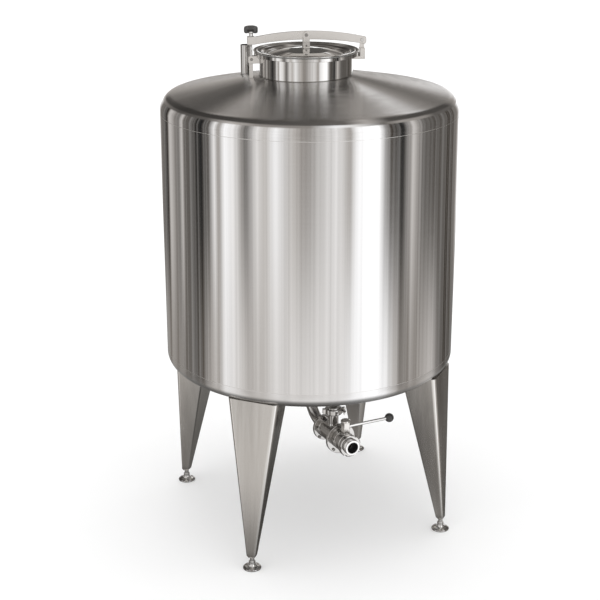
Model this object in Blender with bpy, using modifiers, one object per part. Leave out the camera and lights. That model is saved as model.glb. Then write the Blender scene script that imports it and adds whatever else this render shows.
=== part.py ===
"""A vertical stainless steel storage tank on four tapered legs.

It has a hinged manway on its cone top and a lever valve under its bottom.
Metres, +Z up. The origin is on the floor under the tank's axis, and the outlet points
almost along -Y. Azimuths are degrees about +Z from +X.
"""

import math

import bmesh
import bpy
from mathutils import Matrix, Vector

# Clearance between pieces that touch
GAP = 0.0003

# Vessel
BODY_RADIUS = 0.55
SHEET = 0.003
BOTTOM_SEAM = 0.7093
TOP_SEAM = 1.6148
TOP_SLOPE = math.radians(10.8)
TOP_KNUCKLE = 0.053
TOP_KNUCKLE_START = 1.6295
BOTTOM_SLOPE = math.radians(8.0)
BOTTOM_KNUCKLE = 0.042
BOTTOM_KNUCKLE_START = 0.693
ROUND_STEPS = 72
LID_STEPS = 48

# Manway: its middle, the azimuth of the lid arm's hinge end, its neck, seal and lid
MANWAY_MIDDLE = (-0.0129, 0.0054)
ARM_TURN = math.radians(-14.8)
NECK_RADIUS = 0.170
NECK_LOW = 1.735
NECK_TOP = 1.8297
NECK_LIP_RADIUS = 0.1895
NECK_LIP_LOW = 1.8176
SEAL_INNER = 0.179
SEAL_OUTER = 0.188
SEAL_TOP = 1.8332
LID_RADIUS = 0.192
LID_SEAT = 1.8335
LID_CROWN = 1.8405
LID_UPPER = (
    (0, LID_CROWN),
    (0.03, 1.8400),
    (0.06, 1.8378),
    (0.09, 1.8340),
    (0.115, 1.8285),
    (0.130, 1.8235),
    (0.138, 1.8205),
    (0.144, 1.8215),
    (0.149, 1.8248),
    (0.154, 1.8253),
    (0.158, 1.8300),
    (0.163, 1.8332),
    (0.170, 1.8338),
    (0.176, 1.8341),
    (0.180, 1.8366),
    (0.188, 1.8375),
    (LID_RADIUS, 1.8365),
    (LID_RADIUS, LID_SEAT),
)
LID_LOWER = (
    (0.179, LID_SEAT),
    (0.1757, 1.8310),
    (0.1645, 1.8303),
    (0.160, 1.8268),
    (0.1553, 1.8224),
    (0.150, 1.8218),
    (0.146, 1.8188),
    (0.138, 1.8175),
    (0.130, 1.8203),
    (0.115, 1.8253),
    (0.09, 1.8309),
    (0.06, 1.8347),
    (0.03, 1.8370),
    (0, 1.8375),
)

# Lid arm: an arched flat bar on edge
ARM_HALF = 0.004
ARM_TOP = 1.903
ARM_TOP_ARC = 0.97
ARM_LOW = 1.872
ARM_LOW_ARC = 1.20
ARM_END = 0.015
HINGE_REACH = 0.206
HINGE_LEVEL = 1.867
HINGE_PIN_RADIUS = 0.005
HINGE_EAR = (0.0046, 0.0106)
HINGE_EAR_RADIUS = 0.0095
HINGE_BLOCK = (0.1972, 0.2155)
HINGE_BLOCK_TOP = 1.8376
HINGE_FOOT_LOW = 1.7986
HINGE_FOOT_TOP = 1.8092
LINK_PIN_LEVEL = 1.8885
LINK_PIN_RADIUS = 0.004
LINK_HALF = 0.0123
LINK_EAR = (0.0046, 0.0086)
LINK_BASE_HALF = 0.0165
LINK_PLATE = 0.004
LINK_TOP = 1.9004

# Swing bolt and its fork
BOLT_REACH = 0.200
BOLT_RADIUS = 0.0042
BOLT_PIN_LEVEL = 1.805
BOLT_PIN_RADIUS = 0.003
BOLT_EYE_RADIUS = 0.0085
BOLT_EYE_HALF = 0.0048
BOLT_TOP = 1.914
BRACKET_EAR = (0.0055, 0.0105)
BRACKET_EAR_END = 0.0115
BRACKET_TOP = 1.8172
BRACKET_LOW = 1.790
BRACKET_POST = (0.195, 0.209)
BRACKET_POST_LOW = (1.7388, 1.7362)
FORK_SLOT = 0.0104
FORK_HALF = 0.012
FORK_LOW = 1.858
FORK_TOP = 1.886
FORK_OUT = 0.214
FORK_IN = 0.188
KNOB_STEM_RADIUS = 0.0075
KNOB_FOOT = 1.8868
KNOB_HUB_RADIUS = 0.012
KNOB_HUB_LOW = 1.899
KNOB_GRIP_LOW = 1.905
KNOB_TOP = 1.9245
KNOB_MEAN_RADIUS = 0.0242
KNOB_LOBE = 0.0026
KNOB_LOBES = 3
KNOB_TURN = math.radians(-38.0)

# Vent pipe stub on the cone top
VENT_PLACE = (-0.1708, 0.2129)
VENT_RADIUS = 0.019
VENT_BORE = 0.017
VENT_TOP = 1.834
VENT_LOW = 1.715

# Legs: closed tapered boxes, given by their section at two heights
LEG_AZIMUTHS = (-45.0, 45.0, 135.0, -135.0)
LEG_LOW = 0.045
LEG_CHAMFER = 0.008
LEG_TOP = 0.6615
LEG_HIGH_SECTION = 0.70
LEG_REACH_LOW = 0.5712
LEG_REACH_HIGH = 0.5405
LEG_WIDTH_LOW = 0.034
LEG_WIDTH_HIGH = 0.203
LEG_DEPTH_LOW = 0.0295
LEG_DEPTH_HIGH = 0.148
LEG_SIDE_LEAN = math.radians(5.0)
LEG_BEND_LOW = 0.007
LEG_BEND_HIGH = 0.016

# Levelling feet
FOOT_REACH = 0.556
FOOT_RADIUS = 0.034
FOOT_EDGE = 0.005
FOOT_NECK_RADIUS = 0.012
FOOT_HEIGHT = 0.022
SPINDLE_RADIUS = 0.0085
SPINDLE_NUT_RADIUS = 0.0125
SPINDLE_NUT_HEIGHT = 0.007

# Outlet and valve, laid out along a level axis that leaves the tank's middle
VALVE_TURN = math.radians(-85.8)
PIPE_LEVEL = 0.398
PIPE_RADIUS = 0.0212
PIPE_BORE = 0.0192
ELBOW_RADIUS = 0.106
ELBOW_TOP = 0.5865
REAR_NECK_START = 0.115
REAR_NECK_RADIUS = 0.026
REAR_FLANGE = (0.136, 0.148)
REAR_FLANGE_RADIUS = 0.053
INLET_BODY = (0.1483, 0.2557)
INLET_BODY_RADIUS = 0.040
PORT_REACH = 0.205
PORT_RADIUS = 0.0195
PORT_BORE = 0.0175
FERRULE_RADIUS = 0.0252
FERRULE_LOW = 0.477
FERRULE_TOP = 0.487
PORT_CAP_TOP = 0.507
CLAMP_RADIUS = 0.034
CLAMP_LOW = 0.479
CLAMP_TOP = 0.502
CLAMP_TURN = math.radians(75.0)
FRONT_FLANGE = (0.256, 0.268)
FRONT_FLANGE_RADIUS = 0.0595
VALVE_BODY = (0.2683, 0.3265)
VALVE_BODY_RADIUS = 0.039
BALL_REACH = 0.303
BALL_RADIUS = 0.0215
BALL_BORE = 0.015
CHAMBER_RADIUS = 0.0222
CHAMBER_START = 0.281
STEM_RADIUS = 0.006
BONNET_RADIUS = 0.017
BONNET_TOP = 0.4402
UNION_NUT = (0.3268, 0.3445)
UNION_NUT_RADIUS = 0.0435
OUTLET_END = 0.362
OUTLET_RADIUS = 0.0297
OUTLET_BORE = 0.022
OUTLET_SEAT = 0.0175

# Valve lever, shown across the pipe
HUB_HALF = 0.012
HUB_LOW = 0.4405
HUB_TOP = 0.4815
LEVER_LEVEL = 0.4615
LEVER_RADIUS = 0.005
LEVER_LENGTH = 0.190
LEVER_BALL_RADIUS = 0.0175
LEVER_NUT_RADIUS = 0.0185
LEVER_NUT_TOP = 0.491

SATIN_STEEL = ("satin_steel", (0.62, 0.61, 0.59, 1.0), 0.32, 1.0)
POLISHED_STEEL = ("polished_steel", (0.74, 0.73, 0.71, 1.0), 0.12, 1.0)
BLACK_PLASTIC = ("black_plastic", (0.02, 0.02, 0.02, 1.0), 0.4, 0.0)
SEAL_RUBBER = ("seal_rubber", (0.35, 0.35, 0.34, 1.0), 0.7, 0.0)


def clear_scene():
    """Removes every object that the scene holds."""
    for obj in list(bpy.data.objects):
        bpy.data.objects.remove(obj, do_unlink=True)


def new_collection(name):
    """A collection of that name in the scene."""
    collection = bpy.data.collections.new(name)
    bpy.context.scene.collection.children.link(collection)
    return collection


def new_material(node_name, look):
    """A Principled material of the piece's own, from a look's colour, roughness and metallic value."""
    name, colour, roughness, metallic = look
    material = bpy.data.materials.new(f"{node_name}_{name}")
    material.use_nodes = True
    shader = material.node_tree.nodes["Principled BSDF"]
    shader.inputs["Base Color"].default_value = colour
    shader.inputs["Roughness"].default_value = roughness
    shader.inputs["Metallic"].default_value = metallic
    material.diffuse_color = colour
    return material


def new_frame(name, place, turn):
    """An empty that carries pieces laid out in its own turned frame."""
    frame = bpy.data.objects.new(name, None)
    frame.location = place
    frame.rotation_euler = (0, 0, turn)
    PARTS.objects.link(frame)
    return frame


def finish_part(obj, look, frame=None):
    """Files the object as a piece of the tank, with its material, on its frame."""
    PARTS.objects.link(obj)
    obj.data.materials.append(new_material(obj.name, look))
    obj.parent = frame
    return obj


def finish_cutter(obj, frame=None):
    """Files the object as a helper that is never drawn."""
    CUTTERS.objects.link(obj)
    obj.hide_render = True
    obj.display_type = "WIRE"
    obj.parent = frame
    return obj


def combine(obj, helper, operation="DIFFERENCE"):
    """Cuts the helper from the object, or joins it to the object."""
    modifier = obj.modifiers.new(f"{operation.lower()}_{helper.name}", "BOOLEAN")
    modifier.operation = operation
    modifier.solver = "EXACT"
    modifier.object = helper
    return obj


def lathe(name, profile, ring=False, steps=ROUND_STEPS):
    """Turns (radius, height) points about Z. A ring's profile closes on itself, clockwise."""
    mesh = bpy.data.meshes.new(name)
    points = [(radius, 0.0, height) for radius, height in profile]
    edges = [(i, i + 1) for i in range(len(points) - 1)]
    if ring:
        edges.append((len(points) - 1, 0))
    mesh.from_pydata(points, edges, [])
    obj = bpy.data.objects.new(name, mesh)
    screw = obj.modifiers.new("turned", "SCREW")
    screw.axis = "Z"
    screw.angle = math.tau
    screw.steps = steps
    screw.render_steps = steps
    screw.use_merge_vertices = True
    screw.merge_threshold = 0.00001
    screw.use_smooth_shade = True
    return obj


def rod(name, radius, start, end, steps=24):
    """A plain round bar about Z between two heights."""
    return lathe(name, [(0, end), (radius, end), (radius, start), (0, start)], steps=steps)


def tube(name, radius, bore, start, end, steps=32):
    """A plain pipe about Z between two heights."""
    return lathe(name, [(bore, end), (radius, end), (radius, start), (bore, start)], True, steps)


def lay_along_x(obj, place=(0, 0, 0)):
    """Turns an object made about Z so that its axis is X."""
    obj.rotation_euler = (0, math.pi / 2, 0)
    obj.location = place
    return obj


def lay_along_y(obj, place=(0, 0, 0)):
    """Turns an object made about Z so that its axis is Y, its +Z end at -Y."""
    obj.rotation_euler = (math.pi / 2, 0, 0)
    obj.location = place
    return obj


def box(name, low, high):
    """A block between two corners."""
    mesh = bpy.data.meshes.new(name)
    work = bmesh.new()
    bmesh.ops.create_cube(work, size=1.0)
    size = Vector(high) - Vector(low)
    middle = (Vector(high) + Vector(low)) / 2
    bmesh.ops.scale(work, vec=size, verts=work.verts)
    bmesh.ops.translate(work, vec=middle, verts=work.verts)
    work.to_mesh(mesh)
    work.free()
    return bpy.data.objects.new(name, mesh)


def plate(name, outline, thickness):
    """A flat plate whose outline is given as (x, z), lying in the XZ plane, centred on y = 0."""
    curve = bpy.data.curves.new(name, "CURVE")
    curve.dimensions = "2D"
    curve.fill_mode = "BOTH"
    curve.extrude = thickness / 2
    spline = curve.splines.new("POLY")
    spline.points.add(len(outline) - 1)
    for point, (across, up) in zip(spline.points, outline):
        point.co = (across, up, 0, 1)
    spline.use_cyclic_u = True
    drawn = bpy.data.objects.new(f"{name}_outline", curve)
    bpy.context.scene.collection.objects.link(drawn)
    graph = bpy.context.evaluated_depsgraph_get()
    mesh = bpy.data.meshes.new_from_object(drawn.evaluated_get(graph))
    bpy.data.objects.remove(drawn, do_unlink=True)
    work = bmesh.new()
    work.from_mesh(mesh)
    bmesh.ops.remove_doubles(work, verts=work.verts, dist=0.000001)
    bmesh.ops.rotate(work, cent=(0, 0, 0), matrix=Matrix.Rotation(math.pi / 2, 3, "X"), verts=work.verts)
    bmesh.ops.recalc_face_normals(work, faces=work.faces)
    work.to_mesh(mesh)
    work.free()
    mesh.name = name
    return bpy.data.objects.new(name, mesh)


def arc(middle, radius, start, end, count):
    """Points along an arc, from one angle to another in degrees."""
    angles = [math.radians(start + (end - start) * i / count) for i in range(count + 1)]
    return [(middle[0] + radius * math.cos(a), middle[1] + radius * math.sin(a)) for a in angles]


def offset_path(path, distance):
    """The path moved sideways, to its right as it is walked, with mitred corners."""
    moved = []
    for i, point in enumerate(path):
        before = Vector(path[max(i - 1, 0)])
        after = Vector(path[min(i + 1, len(path) - 1)])
        here = Vector(point)
        sides = [d.normalized() for d in (here - before, after - here) if d.length > 0]
        normals = [Vector((d.y, -d.x)) for d in sides]
        if len(normals) == 1:
            normals.append(normals[0])
        along = (normals[0] + normals[1]).normalized()
        shift = along * distance / along.dot(normals[0])
        moved.append(tuple(here + shift))
    return moved


def head_path(seam, start, knuckle, slope, up, inner_radius):
    """A head's outer side from its seam to inner_radius: a straight flange, a knuckle, a cone."""
    middle = (BODY_RADIUS - knuckle, start)
    bend = arc(middle, knuckle, 0, up * (90 - math.degrees(slope)), 6)
    rise = (bend[-1][0] - inner_radius) * math.tan(slope)
    return [(BODY_RADIUS, seam)] + bend + [(inner_radius, bend[-1][1] + up * rise)]


def make_tank_shell():
    """The rolled cylinder between the two weld seams."""
    profile = [
        (BODY_RADIUS - SHEET, TOP_SEAM - GAP / 2),
        (BODY_RADIUS, TOP_SEAM - GAP / 2),
        (BODY_RADIUS, BOTTOM_SEAM + GAP / 2),
        (BODY_RADIUS - SHEET, BOTTOM_SEAM + GAP / 2),
    ]
    finish_part(lathe("tank_shell", profile, True), SATIN_STEEL)


def make_top_head(manway):
    """The cone top with its rolled edge, open for the manway neck and the vent pipe."""
    outer = head_path(TOP_SEAM + GAP / 2, TOP_KNUCKLE_START, TOP_KNUCKLE, TOP_SLOPE, 1, 0.10)
    outer.reverse()
    head = lathe("top_head", outer + offset_path(outer, SHEET)[::-1], True)
    finish_part(head, SATIN_STEEL)
    hole = rod("cut_manway_hole", NECK_RADIUS + GAP, 1.6, 1.9, LID_STEPS)
    combine(head, finish_cutter(hole, manway))
    vent = rod("cut_vent_hole", VENT_RADIUS + GAP, 1.6, 1.9, 32)
    vent.location = (*VENT_PLACE, 0)
    combine(head, finish_cutter(vent))


def make_bottom_head():
    """The cone bottom with its rolled edge, open for the outlet pipe."""
    seam = BOTTOM_SEAM - GAP / 2
    outer = head_path(seam, BOTTOM_KNUCKLE_START, BOTTOM_KNUCKLE, BOTTOM_SLOPE, -1, 0.010)
    head = lathe("bottom_head", outer + offset_path(outer, SHEET)[::-1], True)
    finish_part(head, SATIN_STEEL)
    hole = rod("cut_outlet_hole", PIPE_RADIUS + GAP, 0.5, 0.7, 32)
    combine(head, finish_cutter(hole))


def make_manway_neck(manway):
    """The manway's neck with its turned-down lip, and the seal that lies on the lip."""
    bore = NECK_RADIUS - SHEET
    profile = [
        (bore, NECK_TOP),
        (NECK_LIP_RADIUS, NECK_TOP),
        (NECK_LIP_RADIUS, NECK_LIP_LOW),
        (NECK_LIP_RADIUS - SHEET, NECK_LIP_LOW),
        (NECK_LIP_RADIUS - SHEET, NECK_TOP - SHEET),
        (NECK_RADIUS, NECK_TOP - SHEET),
        (NECK_RADIUS, NECK_LOW),
        (bore, NECK_LOW),
    ]
    finish_part(lathe("manway_neck", profile, True, LID_STEPS), POLISHED_STEEL, manway)
    seal = tube("manway_seal", SEAL_OUTER, SEAL_INNER, NECK_TOP + GAP, SEAL_TOP, LID_STEPS)
    finish_part(seal, SEAL_RUBBER, manway)


def make_lid(manway):
    """The spun lid: a shallow crown, a groove, and rings that step up to its rim."""
    finish_part(lathe("lid", LID_UPPER + LID_LOWER, steps=LID_STEPS), POLISHED_STEEL, manway)


def make_lid_link(manway):
    """The U bracket on the lid whose two ears straddle the arm, and the pin through them."""
    low = LID_CROWN + GAP
    half = LINK_BASE_HALF
    base = box("lid_link", (-LINK_HALF, -half, low), (LINK_HALF, half, low + LINK_PLATE))
    finish_part(base, SATIN_STEEL, manway)
    top = arc((0, LINK_TOP - LINK_HALF), LINK_HALF, 0, 180, 8)
    outline = top + [(-LINK_HALF, low + 0.001), (LINK_HALF, low + 0.001)]
    inner, outer = LINK_EAR
    for side in (-1, 1):
        ear = plate(f"join_link_ear_{side}", outline, outer - inner)
        ear.location = (0, side * (outer + inner) / 2, 0)
        combine(base, finish_cutter(ear, manway), "UNION")
    drill_across(base, LINK_PIN_RADIUS, (0, LINK_PIN_LEVEL), manway)
    make_pin("lid_link_pin", LINK_PIN_RADIUS, outer, outer, (0, LINK_PIN_LEVEL), manway)


def drill_across(part, pin_radius, place, frame):
    """Cuts a hole along Y through the piece, for a pin at (x, z)."""
    hole = rod(f"cut_{part.name}_{len(part.modifiers)}", pin_radius + GAP, -0.04, 0.04)
    lay_along_y(hole, (place[0], 0, place[1]))
    combine(part, finish_cutter(hole, frame))


def make_pin(name, radius, front, back, place, frame):
    """A round pin along Y with a flat head on each end, front and back of the plates it holds."""
    head = radius + 0.0025
    profile = [
        (0, front + 0.0023),
        (head, front + 0.0023),
        (head, front + GAP),
        (radius, front + GAP),
        (radius, -back - GAP),
        (head, -back - GAP),
        (head, -back - 0.0023),
        (0, -back - 0.0023),
    ]
    pin = lathe(name, profile, steps=16)
    lay_along_y(pin, (place[0], 0, place[1]))
    finish_part(pin, POLISHED_STEEL, frame)


def arm_level(across, middle, radius):
    """Height of one edge of the arched arm at a distance from its middle."""
    return middle - radius + math.sqrt(radius**2 - across**2)


def arm_outline():
    """The bar's side: two long arcs and a rounded hinge end."""
    right = HINGE_REACH + ARM_END
    left = -(FORK_IN + 0.004)
    stations = [left + (right - 0.007 - left) * i / 14 for i in range(15)]
    upper = [(x, arm_level(x, ARM_TOP, ARM_TOP_ARC)) for x in stations]
    lower = [(x, arm_level(x, ARM_LOW, ARM_LOW_ARC)) for x in stations]
    corner_top = arc((right - 0.007, upper[-1][1] - 0.007), 0.007, 90, 0, 4)
    corner_low = arc((right - 0.007, lower[-1][1] + 0.007), 0.007, 0, -90, 4)
    return upper[:-1] + corner_top + corner_low + lower[:-1][::-1]


def make_lid_arm(manway):
    """The arched bar over the lid, with the fork that the swing bolt holds down."""
    arm = plate("lid_arm", arm_outline(), 2 * ARM_HALF)
    finish_part(arm, SATIN_STEEL, manway)
    block = box("join_fork", (-FORK_OUT, -FORK_HALF, FORK_LOW), (-FORK_IN, FORK_HALF, FORK_TOP))
    combine(arm, finish_cutter(block, manway), "UNION")
    slot = box(
        "cut_fork_slot",
        (-FORK_OUT - 0.01, -FORK_SLOT / 2, FORK_LOW - 0.01),
        (-BOLT_REACH, FORK_SLOT / 2, FORK_TOP + 0.01),
    )
    combine(arm, finish_cutter(slot, manway))
    slot_end = rod("cut_fork_end", FORK_SLOT / 2, FORK_LOW - 0.01, FORK_TOP + 0.01)
    slot_end.location = (-BOLT_REACH, 0, 0)
    combine(arm, finish_cutter(slot_end, manway))
    drill_across(arm, HINGE_PIN_RADIUS, (HINGE_REACH, HINGE_LEVEL), manway)
    drill_across(arm, LINK_PIN_RADIUS, (0, LINK_PIN_LEVEL), manway)


def neck_cutter(manway):
    """The space of the neck, which the brackets welded to it keep clear of."""
    cutter = rod("cut_neck_side", NECK_RADIUS + GAP, 1.7, 1.9, LID_STEPS)
    return finish_cutter(cutter, manway)


def make_hinge_bracket(manway, neck):
    """The block beside the neck whose ear carries the arm's hinge pin behind the arm."""
    near, far = HINGE_BLOCK
    outline = [
        (0.160, HINGE_FOOT_LOW),
        (far, HINGE_FOOT_LOW),
        (far, HINGE_BLOCK_TOP),
        (near, HINGE_BLOCK_TOP),
        (near, HINGE_FOOT_TOP),
        (0.160, HINGE_FOOT_TOP),
    ]
    bracket = plate("hinge_bracket", outline, 0.028)
    bracket.location = (0, 0.002, 0)
    finish_part(bracket, SATIN_STEEL, manway)
    round_top = arc((HINGE_REACH, HINGE_LEVEL), HINGE_EAR_RADIUS, 0, 135, 8)
    inner, outer = HINGE_EAR
    ear_outline = [(near + 0.0003, 1.815), (far - 0.0003, 1.815)] + round_top
    ear = plate("join_hinge_ear", ear_outline, outer - inner)
    ear.location = (0, (outer + inner) / 2, 0)
    combine(bracket, finish_cutter(ear, manway), "UNION")
    drill_across(bracket, HINGE_PIN_RADIUS, (HINGE_REACH, HINGE_LEVEL), manway)
    combine(bracket, neck)
    make_pin("hinge_pin", HINGE_PIN_RADIUS, ARM_HALF, outer, (HINGE_REACH, HINGE_LEVEL), manway)


def make_bolt_bracket(manway, neck):
    """The two ears on the neck that hold the swing bolt's eye, their post to the cone, and their pin."""
    end = -BOLT_REACH - BRACKET_EAR_END
    outline = [
        (-0.160, BRACKET_LOW),
        (-0.160, BRACKET_TOP - 0.014),
        (-0.168, BRACKET_TOP - 0.014),
        (-0.182, BRACKET_TOP),
        (end + 0.004, BRACKET_TOP),
        (end, BRACKET_TOP - 0.004),
        (end, BRACKET_LOW + 0.003),
        (end + 0.003, BRACKET_LOW),
    ]
    inner, outer = BRACKET_EAR
    bracket = plate("bolt_bracket", outline, 2 * outer)
    finish_part(bracket, SATIN_STEEL, manway)
    slot = box("cut_bolt_slot", (-0.25, -inner, 1.77), (-0.186, inner, 1.83))
    combine(bracket, finish_cutter(slot, manway))
    near, far = BRACKET_POST
    near_low, far_low = BRACKET_POST_LOW
    top = BRACKET_LOW + 0.004
    outline = [(-near, near_low), (-near, top), (-far, top), (-far, far_low)]
    post = plate("join_bracket_post", outline, outer - inner - 0.001)
    post.location = (0, -(outer + inner) / 2, 0)
    combine(bracket, finish_cutter(post, manway), "UNION")
    drill_across(bracket, BOLT_PIN_RADIUS, (-BOLT_REACH, BOLT_PIN_LEVEL), manway)
    combine(bracket, neck)
    make_pin("bolt_pin", BOLT_PIN_RADIUS, outer, outer, (-BOLT_REACH, BOLT_PIN_LEVEL), manway)


def make_swing_bolt(manway):
    """The eye bolt that folds out of the fork."""
    bolt = rod("swing_bolt", BOLT_RADIUS, BOLT_PIN_LEVEL + 0.006, BOLT_TOP)
    bolt.location = (-BOLT_REACH, 0, 0)
    finish_part(bolt, POLISHED_STEEL, manway)
    eye = rod("join_bolt_eye", BOLT_EYE_RADIUS, -BOLT_EYE_HALF, BOLT_EYE_HALF)
    lay_along_y(eye, (-BOLT_REACH, 0, BOLT_PIN_LEVEL))
    combine(bolt, finish_cutter(eye, manway), "UNION")
    drill_across(bolt, BOLT_PIN_RADIUS, (-BOLT_REACH, BOLT_PIN_LEVEL), manway)


def make_clamp_knob(manway):
    """The knob on the bolt's thread: a steel hub and a black grip with lobes."""
    bore = BOLT_RADIUS + GAP
    profile = [
        (bore, KNOB_GRIP_LOW - GAP),
        (KNOB_HUB_RADIUS, KNOB_GRIP_LOW - GAP),
        (KNOB_HUB_RADIUS, KNOB_HUB_LOW),
        (KNOB_STEM_RADIUS, KNOB_HUB_LOW - 0.002),
        (KNOB_STEM_RADIUS, KNOB_FOOT),
        (bore, KNOB_FOOT),
    ]
    hub = lathe("knob_hub", profile, True, 24)
    hub.location = (-BOLT_REACH, 0, 0)
    finish_part(hub, POLISHED_STEEL, manway)
    outline = []
    for i in range(KNOB_LOBES * 8):
        angle = math.tau * i / (KNOB_LOBES * 8)
        radius = KNOB_MEAN_RADIUS + KNOB_LOBE * math.cos(KNOB_LOBES * (angle - KNOB_TURN))
        outline.append((radius * math.cos(angle), radius * math.sin(angle)))
    thick = KNOB_TOP - KNOB_GRIP_LOW
    grip = plate("knob_grip", outline, thick)
    grip.rotation_euler = (math.pi / 2, 0, 0)
    grip.location = (-BOLT_REACH, 0, KNOB_GRIP_LOW + thick / 2)
    finish_part(grip, BLACK_PLASTIC, manway)
    hole = rod("cut_grip_hole", bore, KNOB_GRIP_LOW - 0.01, BOLT_TOP + GAP)
    hole.location = (-BOLT_REACH, 0, 0)
    combine(grip, finish_cutter(hole, manway))


def make_vent_pipe():
    """The open pipe stub on the cone top."""
    pipe = tube("vent_pipe", VENT_RADIUS, VENT_BORE, VENT_LOW, VENT_TOP)
    pipe.location = (*VENT_PLACE, 0)
    finish_part(pipe, POLISHED_STEEL)


def leg_section(reach, width, depth, bend):
    """A leg's outline at one height, as (outwards, sideways) points: a trapezium with bent corners."""
    lean = math.degrees(LEG_SIDE_LEAN)
    half = width / 2
    narrow = half - depth * math.tan(LEG_SIDE_LEAN)
    small = bend * 0.6
    back = reach - depth
    points = []
    points += arc((reach - bend, half - bend), bend, 0, 90 + lean, 4)
    points += arc((back + small, narrow - small), small, 90 + lean, 180, 2)
    points += arc((back + small, -narrow + small), small, 180, 270 - lean, 2)
    points += arc((reach - bend, -half + bend), bend, 270 - lean, 360, 4)
    return points


def leg_values(height):
    """Reach, width, depth and bend of a leg at a height."""
    share = (height - LEG_LOW) / (LEG_HIGH_SECTION - LEG_LOW)
    pairs = (
        (LEG_REACH_LOW, LEG_REACH_HIGH),
        (LEG_WIDTH_LOW, LEG_WIDTH_HIGH),
        (LEG_DEPTH_LOW, LEG_DEPTH_HIGH),
        (LEG_BEND_LOW, LEG_BEND_HIGH),
    )
    return [low + (high - low) * share for low, high in pairs]


def loft(name, sections):
    """A solid through outlines of like point counts, given as (height, points)."""
    mesh = bpy.data.meshes.new(name)
    work = bmesh.new()
    rings = []
    for height, points in sections:
        rings.append([work.verts.new((x, y, height)) for x, y in points])
    edges = []
    for ring in rings:
        edges.append([work.edges.new((ring[i - 1], ring[i])) for i in range(len(ring))])
    for low, high in zip(edges, edges[1:]):
        bmesh.ops.bridge_loops(work, edges=low + high)
    work.faces.new(rings[0])
    work.faces.new(rings[-1])
    bmesh.ops.recalc_face_normals(work, faces=work.faces)
    work.to_mesh(mesh)
    work.free()
    return bpy.data.objects.new(name, mesh)


def under_head_cutter():
    """The space above the legs: over their level ends, and inside the bottom head's outer side."""
    middle = (BODY_RADIUS - BOTTOM_KNUCKLE, BOTTOM_KNUCKLE_START)
    reach = BOTTOM_KNUCKLE + GAP
    level = math.degrees(math.asin((BOTTOM_KNUCKLE_START - LEG_TOP) / reach))
    bend = arc(middle, reach, -level, math.degrees(BOTTOM_SLOPE) - 90, 6)
    centre = bend[-1][1] - bend[-1][0] * math.tan(BOTTOM_SLOPE)
    profile = [(0, 0.9), (0.8, 0.9), (0.8, LEG_TOP), *bend, (0, centre)]
    return finish_cutter(lathe("cut_under_head", profile))


def make_leg(number, azimuth, under_head):
    """One folded, tapered box leg, ending against the bottom head. Returns its frame."""
    frame = new_frame(f"leg_frame_{number}", (0, 0, 0), math.radians(azimuth))
    reach, width, depth, bend = leg_values(LEG_LOW)
    sections = [(LEG_LOW, leg_section(reach - 0.005, width - 0.010, depth - 0.010, bend - 0.004))]
    for height in (LEG_LOW + LEG_CHAMFER, LEG_HIGH_SECTION):
        sections.append((height, leg_section(*leg_values(height))))
    leg = loft(f"leg_{number}", sections)
    finish_part(leg, SATIN_STEEL, frame)
    combine(leg, under_head)
    return frame


def make_foot(number, frame):
    """One levelling foot: a bell-shaped plate and the threaded spindle that holds the leg."""
    profile = [
        (0, FOOT_HEIGHT),
        (FOOT_NECK_RADIUS, FOOT_HEIGHT),
        (FOOT_NECK_RADIUS + 0.001, FOOT_HEIGHT - 0.006),
        (FOOT_NECK_RADIUS + 0.005, FOOT_HEIGHT - 0.011),
        (FOOT_RADIUS - 0.006, FOOT_EDGE + 0.003),
        (FOOT_RADIUS, FOOT_EDGE),
        (FOOT_RADIUS, 0),
        (0, 0),
    ]
    foot = lathe(f"foot_plate_{number}", profile, steps=24)
    foot.location = (FOOT_REACH, 0, 0)
    finish_part(foot, POLISHED_STEEL, frame)
    low = FOOT_HEIGHT + GAP
    profile = [
        (0, LEG_LOW - GAP),
        (SPINDLE_RADIUS, LEG_LOW - GAP),
        (SPINDLE_RADIUS, low + SPINDLE_NUT_HEIGHT),
        (SPINDLE_NUT_RADIUS, low + SPINDLE_NUT_HEIGHT),
        (SPINDLE_NUT_RADIUS, low),
        (0, low),
    ]
    spindle = lathe(f"foot_spindle_{number}", profile, steps=20)
    spindle.location = (FOOT_REACH, 0, 0)
    finish_part(spindle, POLISHED_STEEL, frame)


def make_outlet_elbow(valve):
    """The pipe that drops from the bottom's middle and bends level towards the valve."""
    bend = arc((ELBOW_RADIUS, PIPE_LEVEL + ELBOW_RADIUS), ELBOW_RADIUS, 180, 270, 10)
    route = [(0, ELBOW_TOP), *bend, (REAR_NECK_START - GAP, PIPE_LEVEL)]
    curve = bpy.data.curves.new("outlet_elbow", "CURVE")
    curve.dimensions = "3D"
    curve.bevel_depth = PIPE_RADIUS
    curve.bevel_resolution = 8
    spline = curve.splines.new("POLY")
    spline.points.add(len(route) - 1)
    for point, (across, up) in zip(spline.points, route):
        point.co = (across, 0, up, 1)
    drawn = bpy.data.objects.new("elbow_route", curve)
    bpy.context.scene.collection.objects.link(drawn)
    graph = bpy.context.evaluated_depsgraph_get()
    mesh = bpy.data.meshes.new_from_object(drawn.evaluated_get(graph))
    bpy.data.objects.remove(drawn, do_unlink=True)
    mesh.name = "outlet_elbow"
    mesh.shade_smooth()
    elbow = bpy.data.objects.new("outlet_elbow", mesh)
    wall = elbow.modifiers.new("wall", "SOLIDIFY")
    wall.thickness = PIPE_RADIUS - PIPE_BORE
    wall.offset = -1
    finish_part(elbow, POLISHED_STEEL, valve)


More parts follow.
